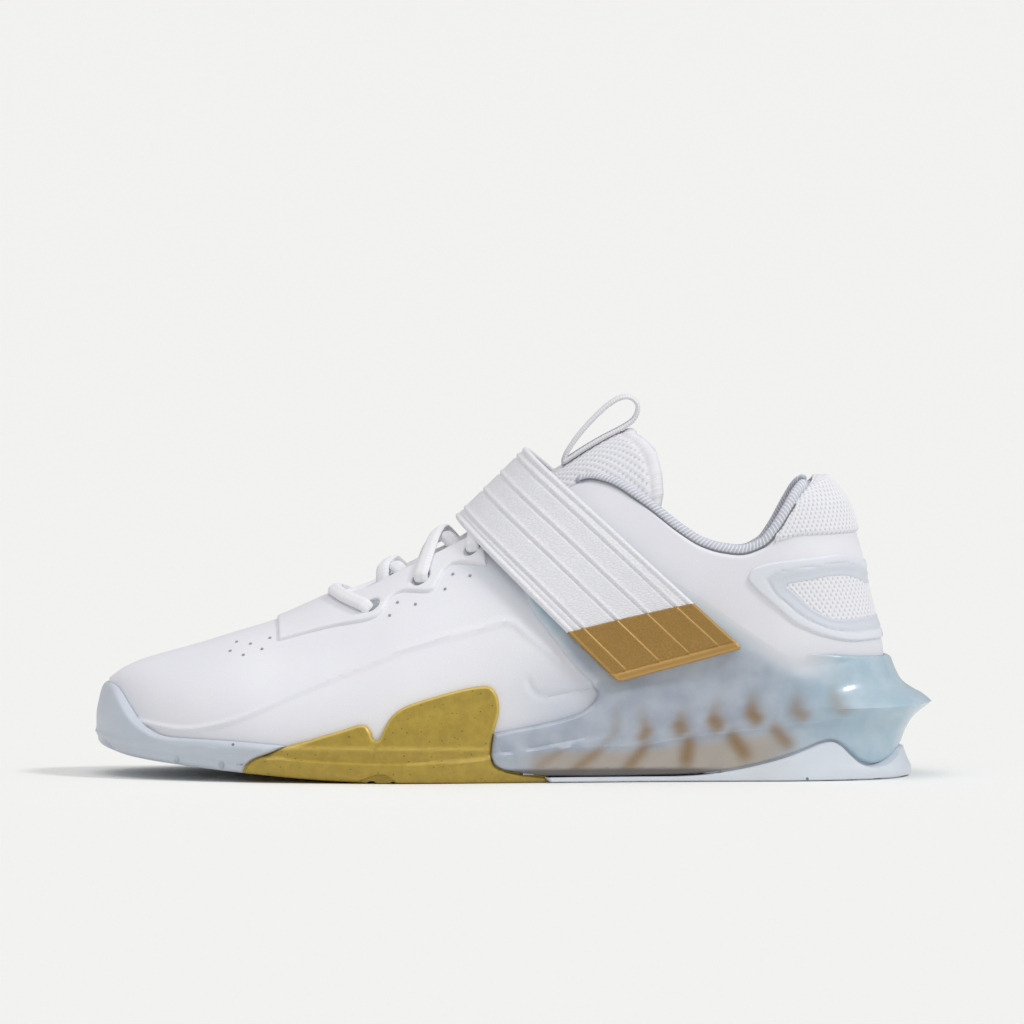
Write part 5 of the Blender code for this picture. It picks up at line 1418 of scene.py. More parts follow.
def build_tongue(sizes, colours):
    """A foam tongue under the throat in spacer mesh, with a ribbed edge where it rises past the strap."""
    span = np.linspace(-1, 1, 181)
    rows = np.linspace(0, 1, 190)
    side = np.where(span < 0, LATERAL, MEDIAL)[None, :]
    reach = np.full(len(span), 0.70)
    for _ in range(12):
        drop = mix(0.006, 0.050, smoothstep(0.28, 0.70, reach))
        low = t_at(reach, ridge_z(reach) - drop, side[0])
        t = mix(low, 0.999, 1 - np.abs(span))
        reach = mix(reach, tongue_end(form(reach, t, side[0])[:, 2] - 0.001), 0.6)
    along = mix(0.255, reach[None, :], rows[:, None])
    sides = np.broadcast_to(side, along.shape)
    drop = mix(0.006, 0.050, smoothstep(0.28, 0.70, along))
    low = t_at(along, ridge_z(along) - drop, sides)
    height = 1 - np.abs(span)[None, :]
    t = mix(low, 0.999, height)
    out = outward(along, t, sides)
    out[..., 1] *= smoothstep(0.0, 0.12, np.abs(span))[None, :]
    out = unit(out)
    top = form(along, t, sides)
    centre = top - out * (tongue_depth(along, height) + TONGUE_THICKNESS / 2)[..., None]
    run_up = lengths(centre - centre[-1:])
    run_side = np.minimum(lengths(centre - centre[:, :1]),
                          lengths(centre - centre[:, -1:]))
    depth = np.minimum(run_up, run_side)
    depth[0] = 0
    swell = round_off(depth / 0.0030)
    across = np.broadcast_to(span[None, :] * TONGUE_HALF_WIDTH, along.shape)
    flat = np.stack((across, along * UPPER_LENGTH), -1).reshape(-1, 2)
    knit = knit_bumps(flat, sizes.knit_pitch).reshape(along.shape) * sizes.knit_pitch * 0.28
    band = smoothstep(0.0052, 0.0042, run_up) * smoothstep(0.55, 0.60, along)
    groove = bell(run_up, 0.0050, 0.0007) * smoothstep(0.55, 0.60, along)
    ribs = 0.00022 * np.cos(run_side / 0.0011 * 2 * math.pi) * band
    seen = smoothstep(0.45, 0.50, along)
    extra = (knit * (1 - band) * seen + ribs - 0.0005 * groove) * smoothstep(0, 0.001, depth)
    outer = centre + out * (TONGUE_THICKNESS / 2 * swell + extra)[..., None]
    inner = centre - out * (TONGUE_THICKNESS / 2 * swell)[..., None]
    knop = both(mix(1.0, knit_bumps(flat, sizes.knit_pitch), ((1 - band) * seen).ravel()))
    tongue = make_piece("foam_tongue", [(*closed_sheet(outer, inner), 0)], [spacer_mesh(colours.knit)],
                        ["tongue"], uv=both(flat), values={"knop": knop}, sharp=80)
    return tongue


def build_insole(sizes, colours):
    """A foam insole with a shallow heel cup."""
    inset = UPPER_WALL + 2 * GAP
    shares = np.unique(np.concatenate((SHARES[::3], [0.0, 1.0])))
    sides = []
    for side in SIDES:
        run = np.interp(shares, SHARES, FOOT_RUN[side])
        points, normal = wall(side * np.maximum(run, 1e-9), -1e-4, "toe")
        sides.append(points - unit(normal * np.array((1, 1, 0))) * inset)
    share = np.linspace(0, 1, 41)
    grid = mix(sides[0][:, None, :], sides[1][:, None, :], share[None, :, None])
    foot = feather_z(shares)[:, None]
    width = lengths(sides[0] - sides[1])[:, None]
    edge = np.minimum(np.minimum(share, 1 - share)[None, :] * width,
                      np.minimum(shares, 1 - shares)[:, None] * UPPER_LENGTH)
    dish = 0.0012 * smoothstep(0.60, 0.85, shares)[:, None] * smoothstep(0.004, 0.020, edge)
    top, low = grid.copy(), grid.copy()
    low[..., 2] = foot + 0.0001
    top[..., 2] = foot + INSOLE_THICKNESS * round_off(edge / 0.0025) - dish
    lining = lining_cloth(colours.lining)
    insole = make_piece("foam_insole", [(*closed_sheet(top, low), 0)], [lining], ["insole"])
    return insole


# Laces, pull loop and strap

def lace_strand(near, far, hump, forward=0.0, under=(False, False)):
    """A lace's middle line over the ridge. An end dives into its eyelet, or slips under the throat's edge."""
    cross = np.linspace(-1, 1, 81)
    side = np.where(cross < 0, LATERAL, MEDIAL)
    along = mix(near[0], far[0], (cross + 1) / 2) - forward * (1 - cross**2)
    edge = t_at(along, edge_z(along, side), side)
    hidden = np.where(cross < 0, under[0], under[1])
    hold = np.where(hidden, edge - 0.07, np.where(cross < 0, near[1], far[1]) - 0.022)
    t = mix(0.998, hold, np.abs(cross) ** 0.9)
    out = outward(along, t, side)
    out[..., 1] *= smoothstep(0.0, 0.25, np.abs(cross))
    out = unit(out)
    beyond = (1 - t) / (1 - edge)
    low = np.where(hidden, -0.0040, 0.0024)
    lift = mix(hump, low, smoothstep(0.30, 0.95, beyond))
    dive = smoothstep(0.93, 1.0, np.abs(cross)) * (~hidden)
    lift = mix(lift, -0.0016, dive)
    return form(along, t, side) + out * lift[:, None], out


def build_laces(sizes, colours):
    """One lace: a bar over the front, and crossings from each pair of holes to the next."""
    strands = [lace_strand(EYELETS[0], EYELETS[0], 0.0006, forward=0.046)]
    for i, (near, far) in enumerate(zip(EYELETS, EYELETS[1:])):
        first = i == 0
        low = (near[0] - (0.004 if first else 0.0), near[1])
        high = (far[0] - 0.014, far[1])
        strands.append(lace_strand(low, high, 0.0014 if first else 0.0028, under=(first, True)))
        strands.append(lace_strand(high, low, -0.0006 if first else 0.0004, under=(True, first)))
    strands.append(lace_strand(EYELETS[-1], EYELETS[-1], 0.0012, forward=-0.010))
    parts, flats = [], []
    for path, out in strands:
        pinch = smoothstep(0, 0.004, np.minimum(lengths(path - path[0]),
                                                lengths(path - path[-1])))
        width = sizes.lace_width * mix(0.9, 1.0, pinch)
        points, faces, flat = tube(path, out, width, LACE_THICKNESS, 16, 2.1)
        parts.append((points, faces, 0))
        flats.append(flat)
    laces = make_piece("woven_laces", parts, [woven_lace(colours.lace)], ["laces"],
                       uv=np.concatenate(flats), merge=1e-7)
    places, outs = [], []
    for at, height in EYELETS:
        for side in SIDES:
            spot = np.array([at]), np.array([height]), np.array([side])
            outs.append(outward(*spot))
            places.append(form(*spot) + outs[-1] * 0.0002)
    # Dark discs of painted shade at the bottom of each eyelet.
    bottom = {"Radius": 0.0030, "Depth": 0.0006}
    tree = spots_tree("lace holes", shadow(), bottom)
    holes = grown("lace_holes", tree, bottom, np.concatenate(places), np.concatenate(outs))
    return laces, holes


LOOP_LINE = (
    (0.584, 0.886), (0.608, 0.921), (0.634, 0.955), (0.660, 0.985), (0.674, 1.006), (0.680, 1.032),
    (0.679, 1.056), (0.669, 1.072), (0.654, 1.066), (0.634, 1.034), (0.608, 0.974), (0.590, 0.918),
)


LOOP_STEP = 0.0006


def build_pull_loop(sizes, colours):
    """Webbing folded into a loop on the tongue's front, with a stitched edge."""
    rows = [((a - 0.52) * UPPER_LENGTH + TO_BOX_CENTRE[0], INSTEP_HEIGHT * up) for a, up in LOOP_LINE]
    line = smooth_run(np.array((*rows, rows[0])), LOOP_STEP)[:-1]
    heading = unit(np.roll(line, -1, axis=0) - np.roll(line, 1, axis=0))
    normal = np.stack((-heading[:, 1], heading[:, 0]), -1)
    share = np.linspace(-1, 1, 29)
    middle_y = float(RIDGE_SHIFT(0.62) * local_width(0.62)) + TO_BOX_CENTRE[1]
    edge = LOOP_WIDTH / 2 * (1 - np.abs(share))
    half = LOOP_THICKNESS / 2 * round_off(edge / 0.0007)
    half = half + 0.00018 * bell(edge, 0.0008, 0.0004)
    half = half - 0.00012 * bell(edge, 0.0017, 0.0003)
    half = np.where(edge <= 0, 0.0, half)
    skins = []
    for turn in (1, -1):
        spot = line[:, None, :] + normal[:, None, :] * (half * turn)[None, :, None]
        y = np.broadcast_to(middle_y + share * LOOP_WIDTH / 2, spot.shape[:2])
        skins.append(np.stack((spot[..., 0], y, spot[..., 1]), -1).reshape(-1, 3))
    faces = grid_faces(len(line), len(share), loop=True)
    points, made = closed(skins[0], skins[1], faces)
    run = np.repeat(np.arange(len(line)) * LOOP_STEP, len(share))
    flat = np.stack((run, np.tile(share * LOOP_WIDTH / 2, len(line))), -1)
    return make_piece("webbing_loop", [(points, made, 0)], [webbing(colours.lace)], ["pull_loop"],
                      uv=both(flat), sharp=60)


STRAP_FRONT_CROWN = 0.4506
STRAP_BACK_CROWN = 0.543
STRAP_FRONT_END = (0.652, 1.72)
STRAP_BACK_END = (0.8135, 1.94)
STRAP_RISE_FRONT = 0.0046
STRAP_RISE_BACK = 0.0126
STRAP_ARCH = 0.045
STRAP_CLEAR = 0.0024
TIP_START_FRONT = 0.686
TIP_START_BACK = 0.770
STRAP_SEAMS = (0.125, 0.395, 0.63, 0.86)


def strap_under(across, share, side):
    """Places on the strap's under side: across from its front to its back edge, share down from the crown."""
    crown_along = mix(STRAP_FRONT_CROWN, STRAP_BACK_CROWN, across)
    rise = mix(STRAP_RISE_FRONT, STRAP_RISE_BACK, across)
    crown_x = (crown_along - 0.52) * UPPER_LENGTH
    crown_z = ridge_z(crown_along) + rise - STRAP_THICKNESS
    ends = [((a - 0.52) * UPPER_LENGTH, float(level_z(a, up))) for a, up in (STRAP_FRONT_END, STRAP_BACK_END)]
    end_x, end_z = (mix(ends[0][i], ends[1][i], across) for i in (0, 1))
    x, z = mix(crown_x, end_x, share), mix(crown_z, end_z, share)
    above = crown_z - ridge_z(crown_along)
    down = share * np.hypot(end_x - crown_x, end_z - crown_z)
    lifted = above * (1 - smoothstep(0, STRAP_ARCH, down))
    along = x / UPPER_LENGTH + 0.52
    along = along + back_lean(along, z) / UPPER_LENGTH
    t = t_at(along, z - lifted, side)
    here = form(along, t, side)
    y = here[..., 1] + outward(along, t, side)[..., 1] * STRAP_CLEAR
    middle = RIDGE_SHIFT(crown_along) * local_width(crown_along) + TO_BOX_CENTRE[1]
    y = np.where(share <= 0, middle, y)
    return np.stack((x + TO_BOX_CENTRE[0], y, z), -1)


def strap_sheet(w, across):
    """Under side and outward directions at w along the strap, from -1 at the outer end to 1 at the inner."""
    side = np.where(w < 0, LATERAL, MEDIAL)
    under = strap_under(across, np.abs(w), side)
    for _ in range(3):
        soft = under.copy()
        soft[1:-1] = (under[:-2] + 2 * under[1:-1] + under[2:]) / 4
        near = smoothstep(0.10, 0.04, np.abs(w))[..., None]
        under = mix(under, soft, near)
    down, over = np.gradient(under, axis=0), np.gradient(under, axis=1)
    normal = unit(np.cross(down, over))
    flip = np.sign(normal[len(w) // 2, :, 2].mean())
    return under, normal * flip


def strap_relief(across, width):
    """Folded seams across the strap's panels, and a bound rim along each edge."""
    relief = np.zeros_like(across)
    for seam in STRAP_SEAMS:
        gap = (across - seam) * width
        relief += 0.00034 * bell(gap, 0.0009, 0.0008)
        relief -= 0.00050 * bell(gap, -0.0003, 0.0005)
    edge = np.minimum(across, 1 - across) * width
    return relief + 0.0003 * bell(edge, 0.0012, 0.0008) - 0.0003 * bell(edge, 0.0026, 0.0005)


def tip_start(across):
    return mix(TIP_START_FRONT, TIP_START_BACK, across)


def build_strap(sizes, colours):
    columns = np.linspace(0, 1, 110)
    steps = np.linspace(0, 1, 150) ** 1.5
    tip = tip_start(columns)[None, :]
    lateral = -steps[::-1][:, None] * tip
    medial = np.broadcast_to(steps[1:, None], (len(steps) - 1, len(columns)))
    w = np.concatenate((lateral, medial))
    across = np.broadcast_to(columns[None, :], w.shape)
    under, normal = strap_sheet(w, across)
    width = lengths(under[:, -1] - under[:, 0])[:, None]
    edge = np.minimum(across, 1 - across) * width
    depth = np.minimum(edge, np.minimum(lengths(under - under[-1:]), lengths(under - under[:1]) + 0.01))
    half = STRAP_THICKNESS / 2
    swell = half * mix(0.25, 1.0, round_off(depth / 0.0011))
    centre = under + normal * half
    relief = strap_relief(across, width) * smoothstep(0, 0.001, depth)
    outer = centre + normal * (swell + relief)[..., None]
    inner = centre - normal * swell[..., None]
    run = run_along(under[:, len(columns) // 2])
    flat = np.stack((np.broadcast_to(run[:, None], w.shape), across * width), -1).reshape(-1, 2)
    strap = make_piece("instep_strap", [(*closed_sheet(outer, inner), 0)], [creased_leather(colours.strap)],
                       ["strap"], uv=both(flat))
    return strap, build_strap_tip(colours, columns, tip)


def build_strap_tip(colours, columns, tip):
    """The welded film round the strap's outer end, with the strap's seams under it."""
    rows = np.linspace(0, 1, 90)[:, None]
    near = np.minimum(columns, 1 - columns) * 0.048
    corner = 0.0022 * (1 - round_off(near / 0.0022))[None, :] / 0.092
    w = -mix(tip + 0.0001 / 0.09, 1.006 - corner, rows)[::-1]
    across = np.broadcast_to(columns[None, :], w.shape)
    under, normal = strap_sheet_plain(w, across)
    width = lengths(under[:, -1] - under[:, 0])[:, None]
    edge = np.minimum(across, 1 - across) * width
    end = lengths(under - under[:1])
    start = lengths(under - under[-1:])
    depth = np.minimum(np.minimum(edge, end), start + 0.0005)
    half = (STRAP_THICKNESS + TIP_EXTRA) / 2
    swell = half * mix(0.2, 1.0, round_off(depth / 0.0010))
    seams = sum(bell((across - seam) * width, 0.0, 0.0004) for seam in STRAP_SEAMS)
    seams = seams * smoothstep(0.0030, 0.0045, end)
    rim = bell(np.minimum(edge, end), 0.0008, 0.0006)
    double = bell(end, 0.0032, 0.0004)
    relief = 0.0003 * seams + 0.0002 * rim + 0.0003 * double - 0.0003 * bell(end, 0.0040, 0.0005)
    relief = relief * smoothstep(0, 0.0006, depth)
    # Painted highlight on the raised seams, rims, doubled edge and end of the film.
    light = np.clip(0.55 * seams + 0.6 * rim + 0.6 * double + 0.5 * (end < 0.003), 0, 1).ravel()
    centre = under + normal * half
    outer = centre + normal * (swell + relief)[..., None]
    inner = centre - normal * swell[..., None]
    flat = np.stack((end, across * width), -1).reshape(-1, 2)
    return make_piece("bronze_tip", [(*closed_sheet(outer, inner), 0)], [bronze_film(colours.bronze)],
                      ["strap_tip"], uv=both(flat), values={"ridge_highlight": both(light)})


def strap_sheet_plain(w, across):
    under = strap_under(across, np.abs(w), np.full(w.shape, LATERAL))
    normal = unit(np.cross(np.gradient(under, axis=0), np.gradient(under, axis=1)))
    return under, normal * np.sign(-normal[..., 1].mean())


def build_perforations(sizes, colours):
    """Punched vent holes in the quarter and on the vamp, made as small sunk cups in a dark finish of painted
    shade.
    """
    rows = np.array(PERFORATIONS)
    points, outs = [], []
    for side in SIDES:
        z = level_z(rows[:, 0], rows[:, 1])
        t = t_at(rows[:, 0], z, side)
        out = outward(rows[:, 0], t, np.full(len(rows), side))
        points.append(form(rows[:, 0], t, side) - out * (sizes.hole_radius * 0.42))
        outs.append(out)
    cup = {"Radius": sizes.hole_radius, "Depth": sizes.hole_radius}
    tree = spots_tree("punched holes", shadow(), cup)
    return grown("vent_holes", tree, cup, np.concatenate(points), np.concatenate(outs))


# Finishes of this shoe

# Where most of a noise's values lie
NOISE_SPAN = (0.3, 0.7)


def coated_leather(colour, hollow=None):
    """Coated microfibre leather, cast on an embossed paper: smooth and white, with a very fine pebble."""
    made, tree, shader = new_finish("coated microfibre leather", colour, 0.48, ior=1.5)
    shade = blended(tree, uneven(tree, 0.03), scaled(colour, 0.965, 0.985), colour, NOISE_SPAN)
    # Painted shade: where a piece's hollow value is high, the leather takes the darker hollow colour.
    if hollow is not None:
        shade = blended(tree, add(tree, "Attribute", attribute_name="hollow").outputs["Fac"], shade, hollow)
    where = add(tree, "TexCoord").outputs["Object"]
    grain = add(tree, "TexVoronoi", {"Vector": where, "Scale": 1 / 0.0009}, feature="DISTANCE_TO_EDGE")
    pebble = add(tree, "MapRange", {"Value": grain.outputs[0], "From Max": 0.25},
                 interpolation_type="SMOOTHSTEP")
    dress(tree, shader, shade, pebble.outputs["Result"], 0.00004, 0.35)
    return made


def creased_leather(colour):
    """Thin leather over foam, shrunk after tanning: a fine crackle of creases that runs across the strap."""
    made, tree, shader = new_finish("shrunken garment leather", colour, 0.55, ior=1.5)
    spot = add(tree, "UVMap").outputs["UV"]
    warp = add(tree, "TexNoise", {"Vector": spot, "Scale": 1 / 0.012, "Detail": 2.0}).outputs["Color"]
    shift = add(tree, "VectorMath", {0: warp, 3: 0.006}, operation="SCALE").outputs[0]
    bent = add(tree, "VectorMath", {0: spot, 1: shift}).outputs[0]
    long = add(tree, "Mapping", {"Vector": bent, "Scale": (1 / 0.0009, 1 / 0.0024, 1.0)}).outputs[0]
    crease = add(tree, "TexVoronoi", {"Vector": long, "Scale": 1.0}, feature="DISTANCE_TO_EDGE",
                 voronoi_dimensions="2D").outputs[0]
    height = add(tree, "MapRange", {"Value": crease, "From Max": 0.22}, interpolation_type="SMOOTHSTEP")
    height = height.outputs["Result"]
    # Painted shade: the creases are a little darker, where their relief is lowest.
    dress(tree, shader, blended(tree, height, scaled(colour, 0.93), colour), height, 0.00009, 0.7)
    return made


def bronze_film(colour):
    """Metallic polyurethane film welded on: satin, with fine pigment flakes and a painted highlight on its
    raised seams, rims and end.
    """
    made, tree, shader = new_finish("welded metallic film", colour, 0.42, metallic=0.35)
    flake = uneven(tree, 0.0006, 3.0, 0.7)
    shade = blended(tree, flake, scaled(colour, 0.86), scaled(colour, 1.10), (0.35, 0.65))
    shade = blended(tree, uneven(tree, 0.010), shade, scaled(colour, 0.82), NOISE_SPAN, (0.0, 0.35))
    # Painted highlight: lighter where the raised seams and rims are.
    ridge_highlight = add(tree, "Attribute", attribute_name="ridge_highlight").outputs["Fac"]
    shade = blended(tree, ridge_highlight, shade, scaled(colour, 1.45, plus=0.03), (0.0, 1.0), (0.0, 0.75))
    dress(tree, shader, shade, flake, 0.00003, 0.5)
    return made


def gold_rubber(colour):
    """Moulded rubber with a gold pigment and ground dark flecks in it, satin from the mould, with a painted
    highlight along its lips and its ledge.
    """
    made, tree, shader = new_finish("pigmented moulded rubber", colour, 0.40, metallic=0.15)
    cloud = uneven(tree, 0.004, 4.0, 0.65)
    shade = blended(tree, cloud, scaled(colour, 0.88), scaled(colour, 1.06), NOISE_SPAN)
    where = add(tree, "TexCoord").outputs["Object"]
    fleck = add(tree, "TexVoronoi", {"Vector": where, "Scale": 1 / 0.0026}).outputs["Distance"]
    shade = blended(tree, fleck, shade, scaled(colour, 0.45), (0.08, 0.14), (1.0, 0.0))
    # Painted highlight: lighter where the lip value is high.
    lip = add(tree, "Attribute", attribute_name="lip").outputs["Fac"]
    shade = blended(tree, lip, shade, scaled(colour, 1.5, plus=0.05), (0.0, 1.0), (0.0, 0.7))
    dress(tree, shader, shade, uneven(tree, 0.0008, 3.0), 0.00006, 0.5)
    return made


def pale_rubber(colour, name):
    """Moulded outsole rubber, pale and cool, satin, with a few ground dark specks."""
    made, tree, shader = new_finish(name, colour, 0.42, ior=1.52)
    shade = blended(tree, uneven(tree, 0.02), scaled(colour, 0.95), colour, NOISE_SPAN)
    where = add(tree, "TexCoord").outputs["Object"]
    speck = add(tree, "TexVoronoi", {"Vector": where, "Scale": 1 / 0.011}).outputs["Distance"]
    shade = blended(tree, speck, shade, scaled(colour, 0.25), (0.045, 0.06), (1.0, 0.0))
    dress(tree, shader, shade, uneven(tree, 0.0006), 0.00004, 0.4)
    return made


def frosted_moulding(colours):
    """Frosted thermoplastic moulding: the gold ribs inside it show as soft patches through its wall."""
    made, tree, shader = new_finish("frosted clear moulding", colours.frost, 0.30, ior=1.49, coat_weight=0.5,
                                    coat_roughness=0.12, subsurface_weight=0.15,
                                    subsurface_radius=(0.8, 0.9, 1.0), subsurface_scale=0.003)
    share = {name: add(tree, "Attribute", attribute_name=name).outputs["Fac"]
             for name in ("blue", "warm", "rib", "deep", "wing")}
    shade = blended(tree, share["blue"], colours.frost, colours.frost_blue)
    shade = blended(tree, uneven(tree, 0.010, 3.0), shade, linear("#e1e7ec"), NOISE_SPAN, (0.0, 0.25))
    shade = blended(tree, share["warm"], shade, colours.core, (0.0, 1.0), (0.0, 0.6))
    shade = blended(tree, share["rib"], shade, colours.rib)
    # Painted shade: the dark line low down on the moulding.
    shade = blended(tree, share["deep"], shade, linear("#555250"), (0.0, 1.0), (0.0, 0.9))
    shade = blended(tree, share["wing"], shade, colours.leather)
    dress(tree, shader, shade, uneven(tree, 0.006), 0.0001, 0.3)
    return made


def spacer_mesh(colour):
    """Warp-knitted spacer mesh: white and matt, with painted shade in the hollows between its knops and in
    the troughs of its fine wave.
    """
    made, tree, shader = new_finish("warp-knitted spacer mesh", colour, 0.85, sheen_weight=0.15)
    spot = add(tree, "UVMap").outputs["UV"]
    fine = add(tree, "TexWave", {"Vector": spot, "Scale": 1 / 0.0022, "Distortion": 1.0}).outputs["Fac"]
    knop = add(tree, "Attribute", attribute_name="knop").outputs["Fac"]
    shade = blended(tree, fine, scaled(colour, 0.94), colour)
    shade = blended(tree, knop, shade, scaled(colour, 0.62, 0.68), (0.0, 0.6), (0.9, 0.0))
    dress(tree, shader, shade, fine, 0.00004, 0.5)
    return made


def fuzzy_cloth(name, colour, roughness, size, dark, strength):
    """Matt cloth with a soft fuzz, with painted shade that makes its hollows a little darker."""
    made, tree, shader = new_finish(name, colour, roughness)
    fuzz = uneven(tree, size, 3.0)
    shade = blended(tree, fuzz, scaled(colour, dark), colour, NOISE_SPAN)
    dress(tree, shader, shade, fuzz, 0.0001, strength)
    return made


def knit_yarn(colour):
    """Flat knitted edging in white polyester yarn, matt."""
    return fuzzy_cloth("knitted polyester edging", colour, 0.8, 0.0006, 0.92, 0.6)


def lining_cloth(colour):
    """Brushed polyester lining, pale grey and matt."""
    return fuzzy_cloth("brushed polyester lining", colour, 0.9, 0.0008, 0.90, 0.5)


def woven_lace(colour):
    """Tubular woven polyester lace: a fine diagonal weave, matt."""
    made, tree, shader = new_finish("tubular woven lace", colour, 0.75, sheen_weight=0.1)
    spot = add(tree, "UVMap").outputs["UV"]
    size = add(tree, "Mapping", {"Vector": spot, "Scale": (1 / 0.0016, 7.0, 1.0)}).outputs[0]
    weave = add(tree, "TexVoronoi", {"Vector": size, "Scale": 1.0, "Randomness": 0.15},
                voronoi_dimensions="2D").outputs["Distance"]
    links = {"Value": weave, "From Min": 0.15, "From Max": 0.6, "To Min": 1.0, "To Max": 0.0}
    height = add(tree, "MapRange", links, interpolation_type="SMOOTHSTEP").outputs["Result"]
    # Painted shade: the weave is a little darker where its relief is lowest.
    dress(tree, shader, blended(tree, height, scaled(colour, 0.94), colour), height, 0.00005, 0.5)
    return made


def webbing(colour):
    """Plain woven polyester webbing with a stitched edge."""
    made, tree, shader = new_finish("woven polyester webbing", colour, 0.7)
    spot = add(tree, "UVMap").outputs["UV"]
    weave = add(tree, "TexWave", {"Vector": spot, "Scale": 1 / 0.0030, "Distortion": 0.5}).outputs["Fac"]
    # Painted shade: the weave is darker in its troughs.
    dress(tree, shader, blended(tree, weave, scaled(colour, 0.88), colour), weave, 0.00008, 0.6)
    return made


def shadow(text="#a3a5ae"):
    """Painted shade: a dark matt finish for the bottom of a punched hole and for the line under the collar's
    rope.
    """
    return new_finish("painted shade of holes and seams", linear(text), 0.9)[0]


# Stage, light and camera

VIEW_DISTANCE = 8.0
VIEW_WIDTH = 0.3763
VIEW_TILT = 3.0
VIEW_HEIGHT = 0.0971
SENSOR = 36.0
SKY_STRENGTH = 0.46
SUNS = (
    # name, strength, spread in degrees, the way its light goes
    ("top_light", 0.90, 50, (0.1, 0.22, -1.0)),
    ("key_light", 1.05, 12, (-0.62, 0.28, -0.72)),
)


def build_stage(sizes, colours):
    """A pale floor under an even sky, a wide light from above and a smaller one from the front left."""
    floor = bpy.data.meshes.new("studio_floor")
    bm = bmesh.new()
    bmesh.ops.create_grid(bm, x_segments=1, y_segments=1, size=60.0)
    bm.to_mesh(floor)
    bm.free()
    obj = new_object("studio_floor", floor)
    made, _tree, shader = new_finish("painted studio floor", colours.floor, 0.9)
    shader.inputs["Specular IOR Level"].default_value = 0.15
    floor.materials.append(made)

    world = bpy.data.worlds.new("studio")
    bpy.context.scene.world = world
    world.use_nodes = True
    sky = world.node_tree.nodes["Background"].inputs
    sky["Color"].default_value = (1.0, 1.0, 1.0, 1.0)
    sky["Strength"].default_value = SKY_STRENGTH

    for name, energy, spread, way in SUNS:
        sun = bpy.data.lights.new(name, "SUN")
        sun.energy = energy
        sun.angle = math.radians(spread)
        new_object(name, sun).rotation_euler = Vector(way).to_track_quat("-Z", "Y").to_euler()

    camera = bpy.data.cameras.new("photo_camera")
    camera.sensor_width = SENSOR
    camera.lens = SENSOR * (VIEW_DISTANCE - 0.02) / VIEW_WIDTH
    camera.clip_end = 200.0
    eye = new_object("photo_camera", camera)
    tilt = math.radians(VIEW_TILT)
    back = Vector((0.0, -math.cos(tilt), math.sin(tilt)))
    eye.location = Vector((0.0, 0.0, VIEW_HEIGHT)) + back * VIEW_DISTANCE
    eye.rotation_euler = (-back).to_track_quat("-Z", "Y").to_euler()
    bpy.context.scene.camera = eye
    bpy.context.scene.view_settings.view_transform = "Standard"


# Add-on

def size_setting(name, description, value):
    return FloatProperty(name=name, description=description, default=value, subtype="DISTANCE", unit="LENGTH")


def colour_setting(name, description, text):
    return FloatVectorProperty(name=name, description=description, subtype="COLOR", size=3, min=0.0, max=1.0,
                               default=linear(text))


class ShoeSizes(bpy.types.PropertyGroup):
    """Sizes of the shoe's surface detail."""

    emboss: size_setting("Embossing", "Depth of the lines pressed into the leather", 0.0007)
    knit_pitch: size_setting("Mesh pitch", "Distance between the knops of the spacer mesh", 0.0026)
    rib_pitch: size_setting("Rib pitch", "Distance between the ribs of the collar's edging", 0.0014)
    rope_width: size_setting("Edging width", "Width of the collar's knitted edging", 0.0043)
    lace_width: size_setting("Lace width", "Width of the tubular lace", 0.0055)
    hole_radius: size_setting("Hole radius", "Radius of a punched vent hole", 0.00055)


class ShoeColours(bpy.types.PropertyGroup):
    """Colours of the shoe's materials."""

    leather: colour_setting("Leather", "Coated leather of the upper", "#eeeef3")
    counter: colour_setting("Heel ring", "Leather ring round the heel window", "#e6e9ef")
    strap: colour_setting("Strap", "Creased leather of the strap", "#ececf1")
    knit: colour_setting("Mesh", "Spacer mesh and edging", "#f0f0f4")
    lining: colour_setting("Lining", "Lining and insole", "#dcdde2")
    lace: colour_setting("Laces", "Laces and pull loop", "#f2f2f6")
    bronze: colour_setting("Strap tip", "Metallic film on the strap's tip", "#a98445")
    gold_rubber: colour_setting("Gold rubber", "Rubber wrap at the sole's side", "#b3993f")
    pale_rubber: colour_setting("Toe rubber", "Pale rubber at the toe", "#c9d0da")
    plate_rubber: colour_setting("Heel rubber", "Pale rubber under the heel", "#dee4ec")
    frost: colour_setting("Frost", "Frosted heel moulding", "#a3acbb")
    frost_blue: colour_setting("Frost at the edges", "The moulding where it looks bluest", "#a5bfce")
    core: colour_setting("Core", "Gold core seen through the moulding under its ridge", "#b3a084")
    # Painted shade: the colour that the leather and the collar's core take where shade is painted.
    hollow: colour_setting("Hollows", "Leather and yarn in the hollows", "#c9ced9")
    rib: colour_setting("Ribs", "Gold ribs seen inside the moulding", "#8c7045")
    floor: colour_setting("Floor", "Studio floor", "#f6f6f4")


def make_pieces(context, *builders):
    """Builds pieces with the sizes and colours of the scene."""
    for build in builders:
        build(context.scene.shoe_sizes, context.scene.shoe_colours)
    return {"FINISHED"}


class SHOE_OT_toe_rubber(bpy.types.Operator):
    """Make the pale toe bumper and its tread"""

    bl_idname = "shoe.toe_rubber"
    bl_label = "Toe rubber"

    def execute(self, context):
        return make_pieces(context, build_toe_rubber)


class SHOE_OT_side_wrap(bpy.types.Operator):
    """Make the gold rubber wrap with its two lobes"""

    bl_idname = "shoe.side_wrap"
    bl_label = "Gold side wrap"

    def execute(self, context):
        return make_pieces(context, build_side_wrap)


class SHOE_OT_heel(bpy.types.Operator):
    """Make the frosted heel moulding and the pale plate under it"""

    bl_idname = "shoe.heel"
    bl_label = "Heel"

    def execute(self, context):
        return make_pieces(context, build_heel_midsole, build_heel_plate)


